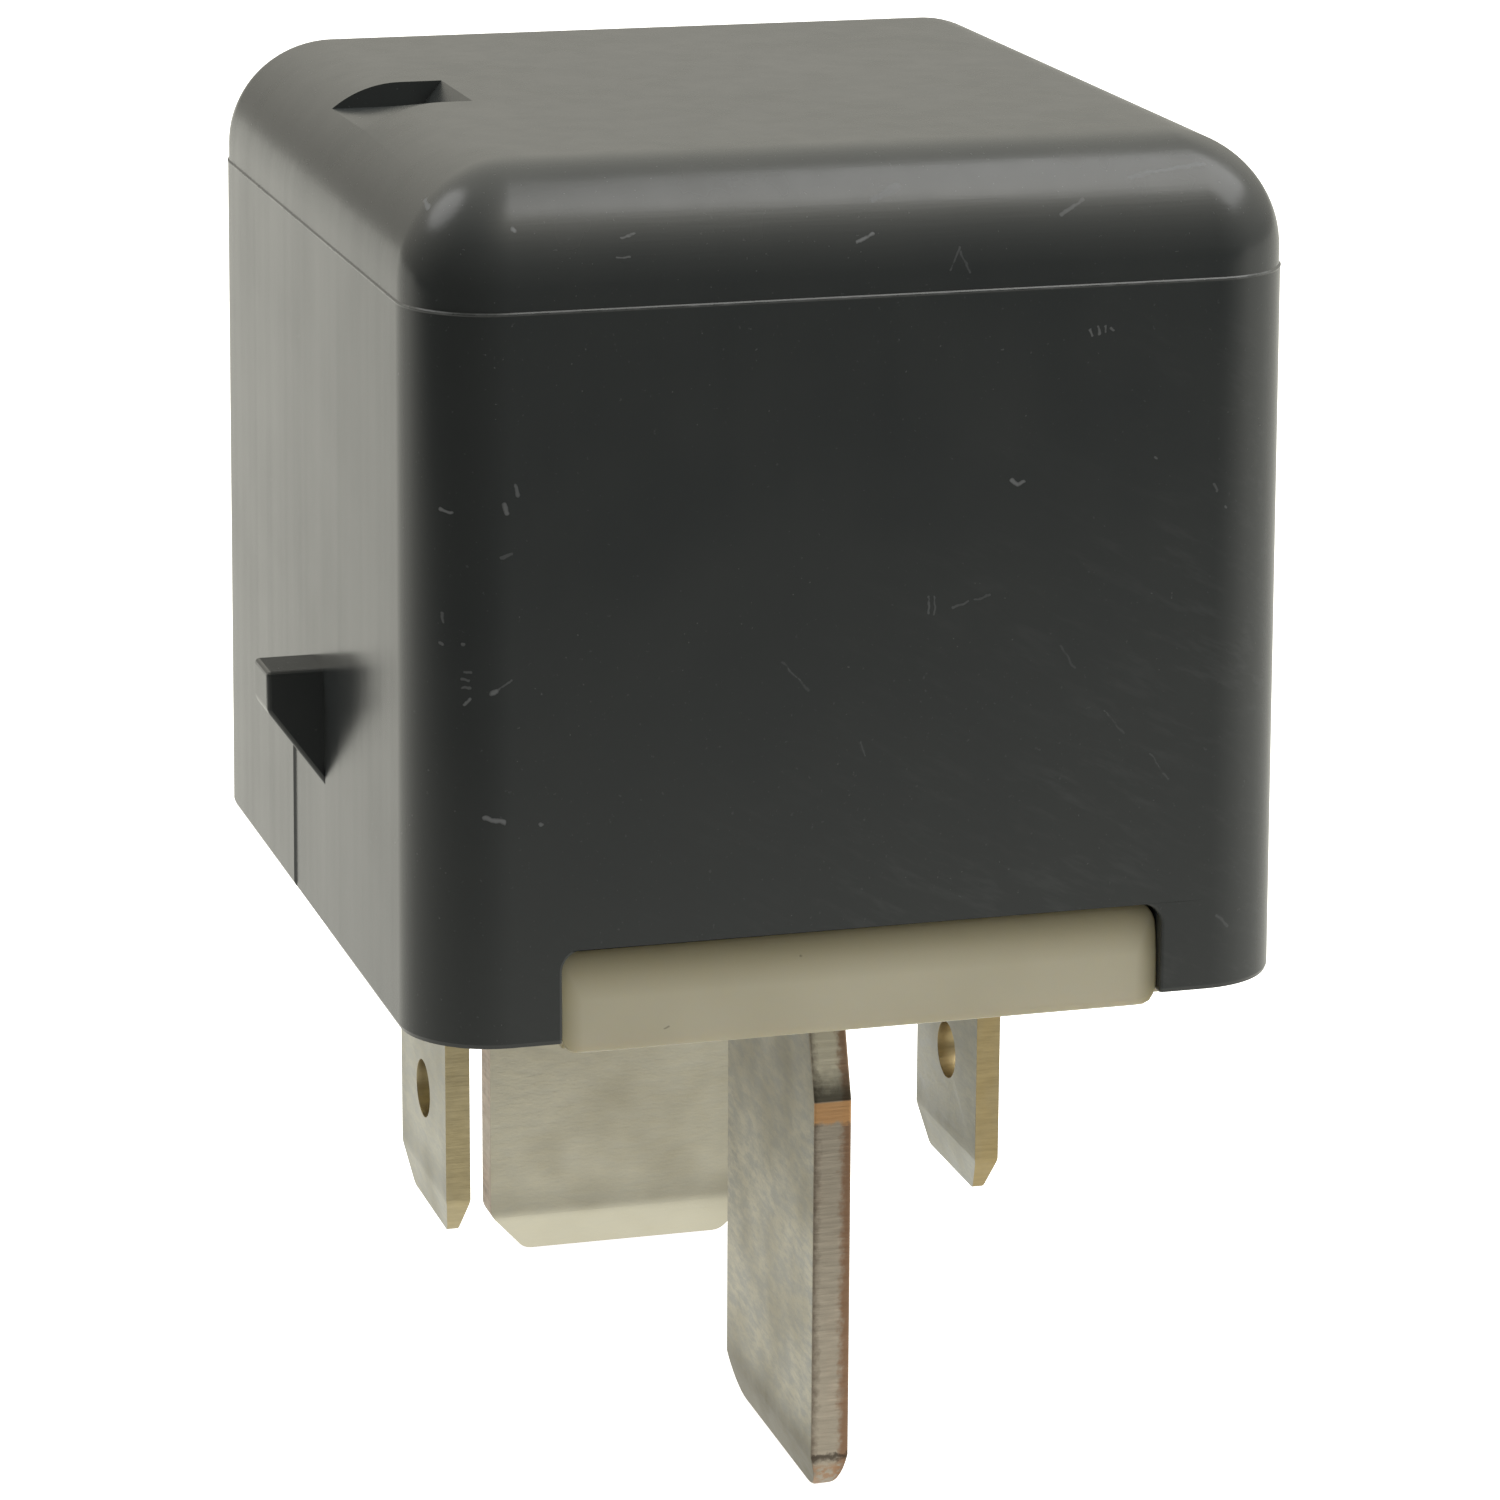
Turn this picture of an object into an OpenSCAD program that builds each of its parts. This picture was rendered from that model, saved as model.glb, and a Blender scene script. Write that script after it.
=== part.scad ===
// Four-terminal high-current automotive relay, plug-in type.
// Black clip-on cover over a cream moulded base, with the complete
// electromagnet, hinged armature and contact set inside.
// Millimetres, +Z up. Origin: centre of the base's flat underside, the
// face that meets the socket. The blades point down, -Y is the front.

/* [Position] */
// Angle the armature stands off the pole face at rest, in degrees
armature_open = 3.0; // [1.5:0.5:3.5]

/* [Cover] */
// Width across the cover at its rim, along X
cover_w = 27.0; // [26.6:0.2:29]
// Depth of the cover at its rim, along Y
cover_d = 30.0; // [29.8:0.2:32]
// Height of the cover from rim to top
cover_h = 25.6; // [25.4:0.2:28]
// How far the base's underside stands below the cover rim
rim_z = 0.4; // [0.2:0.1:0.8]
// Cover wall thickness
wall = 1.2; // [1:0.1:1.3]
// Radius of the four upright corners
corner_r = 2.75; // [2.4:0.1:3.4]
// Radius of the edge round the top
edge_r = 3.4; // [2.6:0.1:3.8]
// Draft of the side walls in degrees
draft = 0.46; // [0.2:0.02:0.6]
// Height of the mould parting line above the rim
seam_h = 21.66; // [20:0.2:21.8]
// Step in the wall at the parting line
seam_step = 0.03; // [0.02:0.01:0.1]

/* [Cover details] */
// Width of the notch in the front rim
notch_w = 18.46; // [16:0.2:19]
// Height of the notch in the front rim
notch_h = 2.85; // [2:0.05:3]
// Radius of the notch's upper corners
notch_r = 0.65; // [0.3:0.05:1]
// Centre of the two side latch wedges, along Y
latch_y = -0.9; // [-3:0.1:3]
// Width of a latch wedge
latch_w = 2.0; // [1.5:0.1:4]
// How far a latch wedge stands out
latch_out = 1.75; // [1:0.05:2]
// Height of the latch shoulder above the base underside
latch_z = 8.7; // [7:0.1:12]
// Height of the upright face of a latch wedge
latch_face = 1.25; // [0.6:0.05:1.6]
// Height of a latch wedge at the wall
latch_h = 3.5; // [3:0.1:4.5]
// Width of the shallow panel below a latch wedge
panel_w = 4.9; // [3:0.1:6]
// Depth of the shallow panel below a latch wedge
panel_depth = 0.15; // [0.05:0.01:0.2]
// Top edge of the thumb recess's right-hand wall, along X
recess_x = -8.5; // [-9.5:0.1:-8]
// Slope of the thumb recess's right-hand wall in degrees
recess_side = 50; // [40:5:80]
// Centre of the thumb recess's hollow floor, along X
recess_mid = -10.8; // [-11:0.1:-10]
// Back wall of the thumb recess, along Y
recess_y = 2.4; // [0:0.1:4]
// Greatest depth of the thumb recess
recess_depth = 0.8; // [0.6:0.05:1]
// Radius of the thumb recess's hollow floor
recess_r = 6.0; // [5:0.1:8]
// Slope of the thumb recess's floor in degrees
recess_slope = 9.5; // [8:0.1:14]

/* [Base] */
// Thickness of the base plate
base_h = 3.4; // [3:0.1:3.6]
// Gap between base and cover, each side
base_gap = 0.1; // [0.05:0.01:0.15]
// Width of the lip that fills the front notch
lip_w = 17.9; // [15:0.1:18.5]
// How far the lip's foot sits behind the cover's front face
lip_set = 0.3; // [0.2:0.05:0.6]
// How far the lip's face leans back over its height
lip_lean = 0.55; // [0.3:0.05:0.8]
// Gap between the lip and the top of the notch
lip_gap = 0.25; // [0.1:0.05:0.4]
// How far the shoulder beside the lip sits behind the cover's front face
shoulder_in = 0.6; // [0.5:0.05:0.9]
// Gap between a terminal and the slot it stands in, each side
slot_gap = 0.04; // [0.02:0.01:0.08]
// Depth of the coring pockets in the underside
pocket_depth = 0.8; // [0.4:0.1:1.2]
// How far the snap ramps stand out of the base's sides
snap_out = 0.4; // [0.3:0.05:0.5]
// Clearance round a snap ramp in the cover's pocket
snap_gap = 0.15; // [0.1:0.01:0.2]
// Height of the pads that carry the yoke
pad_h = 0.4; // [0.3:0.05:0.6]

/* [Power blades] */
// Width of the two power blades
power_w = 9.5; // [9.3:0.1:9.7]
// Thickness of the two power blades
power_t = 1.2; // [1:0.05:1.3]
// Length of the front power blade below the base
front_len = 16.0; // [14:0.1:18]
// Distance of the front power blade behind the cover's front face
front_in = 3.2; // [2.8:0.05:3.4]
// Setback of the front power blade's neck
neck_in = 0.9; // [0.4:0.05:1.1]
// Length of the front power blade's neck below the base
neck_len = 3.2; // [2:0.1:4]
// Length of the rear power blade below the base
rear_len = 16.1; // [14:0.1:18]
// Gap between the rear power blade and the cover's back wall
rear_gap = 1.0; // [0.8:0.05:1.2]
// Middle of the rear power blade, along X
rear_x = -0.27; // [-0.5:0.01:0.5]
// Width cut off each corner of a power blade's tip
power_tip_w = 1.25; // [0.6:0.05:1.6]
// Height cut off each corner of a power blade's tip
power_tip_h = 1.4; // [0.6:0.05:2]
// Rounding of the corners at a power blade's tip
power_tip_r = 0.6; // [0.2:0.05:0.8]

/* [Coil blades] */
// Width of the two coil blades
coil_blade_w = 6.3; // [6.1:0.1:6.4]
// Thickness of the two coil blades
coil_blade_t = 0.8; // [0.7:0.05:0.9]
// Distance between the middles of the two coil blades
coil_pitch = 17.8; // [17.6:0.1:18.2]
// Distance of the coil blades' middles in front of the rear power blade
row_pitch = 8.55; // [8.4:0.05:8.7]
// Length of the left coil blade below the base
left_len = 10.95; // [9:0.05:12]
// Length of the right coil blade below the base
right_len = 11.2; // [9:0.05:12]
// Radius of the locking hole in a coil blade
lock_hole_r = 0.95; // [0.7:0.05:1.1]
// Distance from a coil blade's tip to its locking hole
lock_hole_up = 4.1; // [3.5:0.1:4.6]
// Width cut off each corner of a coil blade's tip
coil_tip_w = 0.85; // [0.4:0.05:1.2]
// Height cut off each corner of a coil blade's tip
coil_tip_h = 1.2; // [0.6:0.05:1.6]
// Rounding of the corners at a coil blade's tip
coil_tip_r = 0.35; // [0.1:0.05:0.5]
// Height of the coined bevel at a blade's tip
bevel_h = 1.3; // [0.8:0.1:2]
// Share of a blade's thickness left at its tip
bevel_share = 0.45; // [0.3:0.05:0.7]

/* [Magnet] */
// Thickness of the yoke's steel
yoke_t = 1.8; // [1.5:0.1:1.9]
// Room between the yoke and the cover's front wall
yoke_room = 2.8; // [2.6:0.05:3]
// Room between the yoke's top edge and the top of the cover
head_room = 5.8; // [5.7:0.05:6]
// Room between the coil and the rear power blade
contact_room = 7.7; // [7.6:0.05:8]
// How far the core's pole face reaches past the core
pole_lip = 1.3; // [0.8:0.1:1.5]
// How much thinner the core's staked foot is than the core
stake_in = 0.55; // [0.4:0.05:0.8]
// Thickness of the core's pole face
pole_t = 0.8; // [0.6:0.05:1]
// Gap left over the pole face when the armature is closed
pole_gap = 0.15; // [0.1:0.01:0.2]
// Gap between the bobbin's flanges and the yoke
flange_gap = 0.1; // [0.05:0.05:0.3]
// Thickness of the bobbin's flanges
flange_t = 1.0; // [0.8:0.05:1.2]
// Wall of the bobbin's tube
tube_wall = 0.85; // [0.6:0.05:0.9]
// How far the bobbin's flanges stand out past the winding
flange_rim = 0.6; // [0.4:0.05:1]
// Radius of the iron core, as a share of the coil's width
core_share = 0.23; // [0.2:0.01:0.24]
// Gap between the core and the bobbin
core_gap = 0.05; // [0.03:0.01:0.1]
// Thickness of the tape round the winding
tape_t = 0.2; // [0.1:0.02:0.24]
// Radius of the coil wire ends
lead_r = 0.18; // [0.12:0.01:0.2]

/* [Armature and contacts] */
// Thickness of the armature
armature_t = 1.5; // [1.3:0.05:1.6]
// How much narrower the armature is than the yoke
armature_in = 1.0; // [0.6:0.1:1.4]
// Running gap between armature and yoke edge
hinge_gap = 0.05; // [0.03:0.01:0.08]
// Thickness of the contact spring
leaf_t = 0.3; // [0.2:0.02:0.35]
// Width of the contact spring
leaf_w = 6.2; // [5:0.1:6.3]
// Distance of the contacts in front of the rear power blade
contact_in = 3.0; // [2.9:0.05:3.1]
// Radius of the moving contact
moving_r = 1.8; // [1.4:0.1:2]
// Thickness of the moving contact
moving_t = 1.0; // [0.8:0.05:1]
// Radius of the fixed contact
fixed_r = 2.0; // [1.6:0.1:2.2]
// Thickness of the fixed contact
fixed_t = 0.9; // [0.7:0.05:0.95]
// Gap left between the contacts when the armature is closed
touch_gap = 0.05; // [0.03:0.01:0.08]
// Radius of the rivets in the contact spring
rivet_r = 0.8; // [0.6:0.05:0.9]
// Radius of the rivets' heads
rivet_head_r = 1.15; // [1:0.05:1.2]
// Height of the rivets' heads
rivet_head_t = 0.45; // [0.3:0.05:0.5]
// Distance between the two rivets
rivet_pitch = 4.0; // [3.6:0.1:4.2]
// Play round rivets and shanks in their holes
rivet_gap = 0.04; // [0.02:0.01:0.06]
// Width of the armature's tail
tail_w = 3.4; // [3:0.1:4]
// How far the return spring stands in front of the yoke
tail_out = 1.4; // [1.2:0.05:1.5]
// Thickness of the backstop strip
stop_t = 0.8; // [0.6:0.05:0.9]
// Width of the backstop strip
stop_w = 3.0; // [2.6:0.1:3.2]
// Right-hand edge of the backstop strip, along X
stop_x = 9.0; // [8.8:0.1:9.4]
// Width of the flat copper braid
braid_w = 2.8; // [2:0.1:2.8]
// Thickness of the flat copper braid
braid_t = 0.7; // [0.5:0.05:0.75]

/* [Return spring and resistor] */
// Mean radius of the return spring
spring_r = 0.65; // [0.5:0.05:0.7]
// Radius of the return spring's wire
spring_wire_r = 0.14; // [0.1:0.01:0.16]
// Turns of the return spring
spring_turns = 9; // [6:1:12]
// Radius of the resistor's body
resistor_r = 1.15; // [0.9:0.05:1.2]
// Length of the resistor's body
resistor_len = 6.4; // [5:0.1:8]
// Height of the resistor above the base's underside
resistor_z = 8.4; // [8:0.1:9]
// Radius of the resistor's lead wire
resistor_lead_r = 0.3; // [0.2:0.02:0.34]
// Radius of a solder joint on a resistor lead
solder_r = 0.8; // [0.6:0.05:0.9]

/* [Hidden] */

$fn = 64;
top_z = rim_z + cover_h;
// places along Y, from the front wall back and from the back wall forward
yoke_y = -cover_d / 2 + wall + yoke_room;
rear_y = cover_d / 2 - wall - rear_gap - power_t;
front_y = -cover_d / 2 + front_in + power_w / 2;
coil_blade_y = rear_y - row_pitch;
contact_y = rear_y - contact_in;
snap_y = rear_y - 3.1;
// the coil fills the room that is left
flange_w = rear_y - yoke_y - yoke_t - flange_gap - contact_room;
coil_y = yoke_y + yoke_t + flange_gap + flange_w / 2;
coil_back = coil_y + flange_w / 2;
winding_r = flange_w / 2 - flange_rim;
core_r = core_share * flange_w;
tube_r = core_r + core_gap + tube_wall;
pole_r = core_r + pole_lip;
yoke_w = flange_w;
tenon_y = coil_y - core_r - 0.4;
tenon_w = 2.8;
seam_z = rim_z + seam_h;
lean = tan(draft);
base_w = cover_w - 2 * wall - 2 * base_gap;
base_d = cover_d - 2 * wall - 2 * base_gap;
inner_r = corner_r - wall;
yoke_z = base_h + pad_h;
floor_z = yoke_z + yoke_t;
yoke_top = top_z - head_room;
arm_z = yoke_top + hinge_gap;
leaf_z = arm_z + armature_t;
pole_z = arm_z - pole_gap;
flange_top = pole_z - pole_t;
fixed_z = leaf_z - moving_t - touch_gap;
arm87_z = fixed_z - fixed_t;
stop_z = leaf_z + leaf_t + rivet_head_t + 1.1;
tail_y = yoke_y - tail_out;
lug_z = 12.4;
coil_x = coil_pitch / 2;
rivet_y = coil_back - 0.8;
tab_out = coil_x + coil_blade_t / 2;
coil_tab_y = coil_blade_y - 2.95;
coil_hole_z = floor_z + flange_t + 0.5;
resistor_y = coil_blade_y + 2.45;

// Profile in Y and Z, extruded along X about x = 0
module along_x(width) {
    rotate([90, 0, 90]) linear_extrude(width, center = true) children();
}

// Profile in X and Z, extruded along Y about y = 0
module along_y(width) {
    rotate([90, 0, 0]) linear_extrude(width, center = true) children();
}

module rounded_rect(w, d, r) {
    square([w - 2 * r, d], center = true);
    square([w, d - 2 * r], center = true);
    for (x = [-1, 1], y = [-1, 1])
        translate([x * (w / 2 - r), y * (d / 2 - r)]) circle(r);
}

// Thin rounded outline at height z, drawn in by the walls' draft and by inset
module outline(z, inset, r, w = cover_w, d = cover_d) {
    in = inset + lean * (z - rim_z);
    for (x = [-1, 1], y = [-1, 1])
        translate([x * (w / 2 - in - r), y * (d / 2 - in - r), z])
            cylinder(r = r, h = 0.01, $fn = 48);
}

// Flat end of a blade from a to b, with its cut corners rounded
module tip(a, b, len, cut_w, cut_h, r) {
    offset(r, $fn = 32) offset(delta = -r)
        polygon([[a, 3 + cut_h - len], [a, cut_h - len], [a + cut_w, -len],
                 [b - cut_w, -len], [b, cut_h - len], [b, 3 + cut_h - len]]);
}

// Opening in the front rim, w wide and up to h, with rounded upper corners
module notch(w, h, r, foot) {
    translate([-w / 2, foot]) square([w, h - r - foot]);
    translate([-w / 2 + r, foot]) square([w - 2 * r, h - foot]);
    for (x = [-1, 1]) translate([x * (w / 2 - r), h - r]) circle(r);
}

// Plate with its two lower faces coined to a thin edge
module coined(t, len) {
    share = t * bevel_share / 2;
    polygon([[-t / 2, 30], [-t / 2, -len + bevel_h], [-share, -len],
             [share, -len], [t / 2, -len + bevel_h], [t / 2, 30]]);
}

// Everything that rocks with the armature, from closed to its place at rest
module rocked() {
    translate([0, yoke_y, yoke_top]) rotate([armature_open, 0, 0])
        translate([0, -yoke_y, -yoke_top]) children();
}

module latch_wedge() {
    along_y(latch_w)
        polygon([[-wall / 2, latch_z], [latch_out, latch_z], [latch_out, latch_z - latch_face],
                 [0, latch_z - latch_h], [-wall / 2, latch_z - latch_h]]);
}

module thumb_recess() {
    floor = top_z - recess_depth;
    intersection() {
        translate([recess_mid, recess_y, floor + recess_r])
            rotate([90 - recess_slope, 0, 0])
                cylinder(r = recess_r, h = 30, center = true, $fn = 96);
        translate([0, recess_y - 5, top_z]) along_y(10)
            polygon([[-cover_w / 2 - 1, -2], [recess_x - 2 / tan(recess_side), -2],
                     [recess_x + 2 / tan(recess_side), 2], [-cover_w / 2 - 1, 2]]);
    }
}

module cover() {
    color([0.09, 0.095, 0.1])
    difference() {
        union() {
            hull() {
                outline(rim_z, 0, corner_r);
                outline(seam_z - 0.01, 0, corner_r);
            }
            hull() {
                outline(seam_z - 0.3, seam_step, corner_r);
                for (a = [0:10:90])
                    outline(top_z - edge_r * (1 - sin(a)) - 0.01, seam_step + edge_r * (1 - cos(a)),
                            max(corner_r * cos(a), 0.1));
            }
            for (s = [0, 1]) mirror([s, 0, 0])
                translate([-cover_w / 2 + lean * (latch_z - rim_z), latch_y, 0])
                    mirror([1, 0, 0]) latch_wedge();
        }
        hull() {
            outline(rim_z - 0.1, wall, inner_r);
            outline(top_z - wall - 2, wall, inner_r);
            outline(top_z - wall - 0.6, wall + 0.6, inner_r);
            outline(top_z - wall - 0.01, wall + 2, inner_r);
        }
        translate([0, -cover_d / 2, 0]) along_y(4 * wall)
            notch(notch_w, rim_z + notch_h, notch_r, -1);
        // shallow panels below the latch wedges
        for (s = [-1, 1])
            translate([s * (cover_w / 2 - panel_depth), 0.35, rim_z]) rotate([0, -s * draft, 0])
                translate([s > 0 ? 0 : -1, -panel_w / 2, -1])
                    cube([1, panel_w, latch_z - latch_h - rim_z + 1.2]);
        // pockets for the base's snap ramps, from the inside
        for (s = [-1, 1])
            translate([s * (cover_w / 2 - wall), snap_y, 1.9])
                cube([2 * (snap_out + 0.15), 4 + 2 * snap_gap, 1.5 + 2 * snap_gap], center = true);
        thumb_recess();
    }
}

module lip() {
    // Outline seen from the front, cut to a face that leans back
    face = -cover_d / 2 + lip_set;
    intersection() {
        translate([0, face + 1.5, 0]) along_y(6)
            union() {
                translate([-lip_w / 2, 0.6]) square([lip_w, notch_h + rim_z - lip_gap - 0.6]);
                translate([-lip_w / 2 + 0.6, 0]) square([lip_w - 1.2, 1]);
                for (x = [-1, 1]) translate([x * (lip_w / 2 - 0.6), 0.6]) circle(0.6);
            }
        along_x(lip_w)
            polygon([[face, 0], [face + 0.12, 1.75], [face + 0.2, 1.75], [face + lip_lean, base_h],
                     [-base_d / 2 + 0.5, base_h], [-base_d / 2 + 0.5, 0]]);
    }
    // shoulder that closes the notch on both sides of the lip
    translate([0, -cover_d / 2 + shoulder_in + 0.75, 0]) along_y(1.5)
        notch(notch_w - 2 * base_gap, rim_z + notch_h - lip_gap, notch_r, 0.1);
}

module slot(w, d, x, y) {
    translate([x, y, 0]) cube([w + 2 * slot_gap, d + 2 * slot_gap, 30], center = true);
}

module base() {
    color([0.74, 0.71, 0.62])
    difference() {
        union() {
            linear_extrude(base_h) rounded_rect(base_w, base_d, inner_r - base_gap);
            lip();
            for (s = [-1, 1])
                translate([s * base_w / 2, snap_y, 0])
                    along_y(4)
                        polygon([[-s, 1.15], [s * snap_out, 1.4], [s * snap_out, 1.7], [0, 2.65], [-s, 2.65]]);
            for (x = [-1, 1], y = [yoke_y + 3.2, coil_back - 3])
                translate([x * (yoke_w / 2 - 1.6) - 1.2, y - 1, 0]) cube([2.4, 2, yoke_z]);
        }
        slot(power_t, power_w, 0, front_y);
        slot(power_w, power_t, rear_x, rear_y + power_t / 2);
        for (s = [-1, 1]) slot(coil_blade_t, coil_blade_w, s * coil_x, coil_blade_y);
        translate([stop_x - stop_w / 2, contact_y + 0.6 + stop_t / 2, base_h])
            cube([stop_w + 2 * slot_gap, stop_t + 2 * slot_gap, 4.8], center = true);
        // coring pockets in the underside
        translate([0, rear_y - 7, -1]) linear_extrude(1 + pocket_depth) rounded_rect(13, 8.8, 0.8);
        for (s = [-1, 1])
            translate([s * 5.4, front_y, -1]) linear_extrude(1 + pocket_depth) rounded_rect(6.4, 8, 0.8);
    }
}

module terminal_30() {
    color([0.72, 0.69, 0.62])
    intersection() {
        along_x(power_t) {
            tip(front_y - power_w / 2, front_y + power_w / 2, front_len,
                power_tip_w, power_tip_h, power_tip_r);
            polygon([[front_y - power_w / 2 + neck_in, base_h],
                     [front_y - power_w / 2 + neck_in, -0.4],
                     [front_y - power_w / 2, -neck_len],
                     [front_y - power_w / 2, -front_len + power_tip_h + 1.5],
                     [front_y + power_w / 2, -front_len + power_tip_h + 1.5],
                     [front_y + power_w / 2, base_h],
                     [front_y + power_w / 2 + 0.5, base_h],
                     [front_y + power_w / 2 + 0.5, yoke_z],
                     [tenon_y, yoke_z], [tenon_y, floor_z - 0.05],
                     [tenon_y - tenon_w, floor_z - 0.05], [tenon_y - tenon_w, yoke_z],
                     [front_y - power_w / 2 + 0.3, yoke_z],
                     [front_y - power_w / 2 + 0.3, base_h]]);
        }
        along_y(60) coined(power_t, front_len);
    }
}

module terminal_87() {
    color([0.72, 0.69, 0.62])
    difference() {
        intersection() {
            translate([rear_x, 0, 0]) along_y(60) {
                tip(-power_w / 2, power_w / 2, rear_len, power_tip_w, power_tip_h, power_tip_r);
                polygon([[-power_w / 2, base_h],
                         [-power_w / 2, -rear_len + power_tip_h + 1.5],
                         [power_w / 2, -rear_len + power_tip_h + 1.5],
                         [power_w / 2, base_h], [power_w / 2 + 0.5, base_h],
                         [power_w / 2 + 0.5, base_h + 1.6], [3.5, base_h + 2.6], [3.5, 30],
                         [-3.5, 30], [-3.5, base_h + 2.6],
                         [-power_w / 2 - 0.5, base_h + 1.6], [-power_w / 2 - 0.5, base_h]]);
            }
            union() {
                translate([0, rear_y + power_t / 2, 0]) intersection() {
                    rotate([0, 0, 90]) along_y(60) coined(power_t, rear_len);
                    translate([-30, -5, -30]) cube([60, 10, 30 + arm87_z - 1.6]);
                }
                along_x(20) {
                    translate([rear_y, arm87_z - 1.7]) square([power_t, 0.1]);
                    translate([contact_y - 2.2, arm87_z - power_t])
                        square([rear_y + power_t - 1.6 - contact_y + 2.2, power_t]);
                    intersection() {
                        difference() {
                            translate([rear_y + power_t - 1.6, arm87_z - 1.6]) circle(1.6);
                            translate([rear_y + power_t - 1.6, arm87_z - 1.6]) circle(1.6 - power_t);
                        }
                        translate([rear_y + power_t - 1.6, arm87_z - 1.6]) square(2);
                    }
                }
            }
        }
        translate([0, contact_y, arm87_z - 5]) cylinder(r = rivet_r + rivet_gap, h = 10);
    }
}

// Coil blade on the +X side; len below the base
module coil_terminal(len) {
    y0 = coil_blade_y - coil_blade_w / 2;
    y1 = coil_blade_y + coil_blade_w / 2;
    difference() {
        intersection() {
            translate([coil_x, 0, 0]) along_x(coil_blade_t) {
                tip(y0, y1, len, coil_tip_w, coil_tip_h, coil_tip_r);
                polygon([[y0, base_h], [y0, -len + coil_tip_h + 1.5],
                         [y1, -len + coil_tip_h + 1.5], [y1, base_h],
                         [y1 + 0.5, base_h], [y1 + 0.5, resistor_z + 1.3],
                         [y1 - 1.9, resistor_z + 1.3], [y1 - 1.9, base_h + 1.3],
                         [coil_tab_y + 0.8, base_h + 1.3], [coil_tab_y + 0.8, coil_hole_z + 1.1],
                         [y0 - 0.5, coil_hole_z + 1.1], [y0 - 0.5, base_h]]);
            }
            translate([coil_x, 0, 0]) along_y(60) coined(coil_blade_t, len);
        }
        translate([coil_x, coil_blade_y, -len + lock_hole_up]) rotate([0, 90, 0])
            cylinder(r = lock_hole_r, h = 4, center = true);
        translate([coil_x, coil_tab_y, coil_hole_z]) rotate([0, 90, 0])
            cylinder(r = lead_r + 0.04, h = 4, center = true);
        translate([coil_x, resistor_y, resistor_z]) rotate([0, 90, 0])
            cylinder(r = resistor_lead_r + 0.04, h = 4, center = true);
    }
}

module terminal_85() {
    color([0.72, 0.69, 0.62]) mirror([1, 0, 0]) coil_terminal(left_len);
}

module terminal_86() {
    color([0.72, 0.69, 0.62]) coil_terminal(right_len);
}

module yoke() {
    color([0.66, 0.67, 0.68])
    difference() {
        union() {
            along_x(yoke_w) {
                translate([yoke_y, yoke_z + 2.2]) square([yoke_t, yoke_top - yoke_z - 2.2]);
                translate([yoke_y + 2.2, yoke_z]) square([coil_back - 1.5 - yoke_y - 2.2, yoke_t]);
                intersection() {
                    difference() {
                        translate([yoke_y + 2.2, yoke_z + 2.2]) circle(2.2);
                        translate([yoke_y + 2.2, yoke_z + 2.2]) circle(2.2 - yoke_t);
                    }
                    translate([yoke_y, yoke_z]) square(2.2);
                }
            }
            // ears that keep the armature in line
            for (s = [-1, 1])
                translate([s * (yoke_w / 2 - 0.85), yoke_y + yoke_t / 2, yoke_top + 0.5])
                    cube([1.7, yoke_t, 1.8], center = true);
            // lug for the return spring
            translate([-1, tail_y - 0.7, lug_z - 0.8]) cube([2, yoke_y - tail_y + 0.8, 0.8]);
        }
        translate([0, coil_y, yoke_z - 1]) cylinder(r = core_r - stake_in + core_gap, h = 4);
        translate([-power_t / 2 - slot_gap, tenon_y - tenon_w - slot_gap, yoke_z - 1])
            cube([power_t + 2 * slot_gap, tenon_w + 2 * slot_gap, 4]);
        translate([0, tail_y, lug_z - 2]) cylinder(r = spring_wire_r + 0.16, h = 4);
    }
}

module core() {
    color([0.6, 0.61, 0.62])
    translate([0, coil_y, 0]) {
        translate([0, 0, yoke_z]) cylinder(r = core_r - stake_in, h = yoke_t);
        translate([0, 0, floor_z]) cylinder(r = core_r, h = flange_top - floor_z);
        translate([0, 0, flange_top]) cylinder(r = pole_r, h = pole_t);
    }
}

module bobbin() {
    color([0.86, 0.84, 0.78])
    translate([0, coil_y, 0]) difference() {
        union() {
            translate([0, 0, floor_z]) linear_extrude(flange_t) rounded_rect(flange_w, flange_w, 1.5);
            translate([0, 0, floor_z]) cylinder(r = tube_r, h = flange_top - floor_z);
            translate([0, 0, flange_top - flange_t]) linear_extrude(flange_t)
                rounded_rect(flange_w, flange_w, 1.5);
        }
        translate([0, 0, floor_z - 1]) cylinder(r = core_r + core_gap, h = 30);
    }
}

module coil_winding() {
    color([0.55, 0.25, 0.12])
    translate([0, coil_y, floor_z + flange_t]) difference() {
        cylinder(r = winding_r, h = flange_top - floor_z - 2 * flange_t);
        translate([0, 0, -1]) cylinder(r = tube_r, h = 30);
    }
}

module coil_tape() {
    color([0.85, 0.7, 0.3])
    translate([0, coil_y, floor_z + flange_t + 1]) difference() {
        cylinder(r = winding_r + tape_t, h = flange_top - floor_z - 2 * flange_t - 2);
        translate([0, 0, -1]) cylinder(r = winding_r, h = 30);
    }
}

module coil_leads() {
    reach = sqrt(pow(winding_r, 2) - pow(coil_tab_y - coil_y, 2)) + 0.04;
    color([0.6, 0.3, 0.15])
    for (s = [0, 1]) mirror([s, 0, 0])
        translate([reach, coil_tab_y, coil_hole_z]) rotate([0, 90, 0])
            cylinder(r = lead_r, h = tab_out - reach);
}

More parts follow.
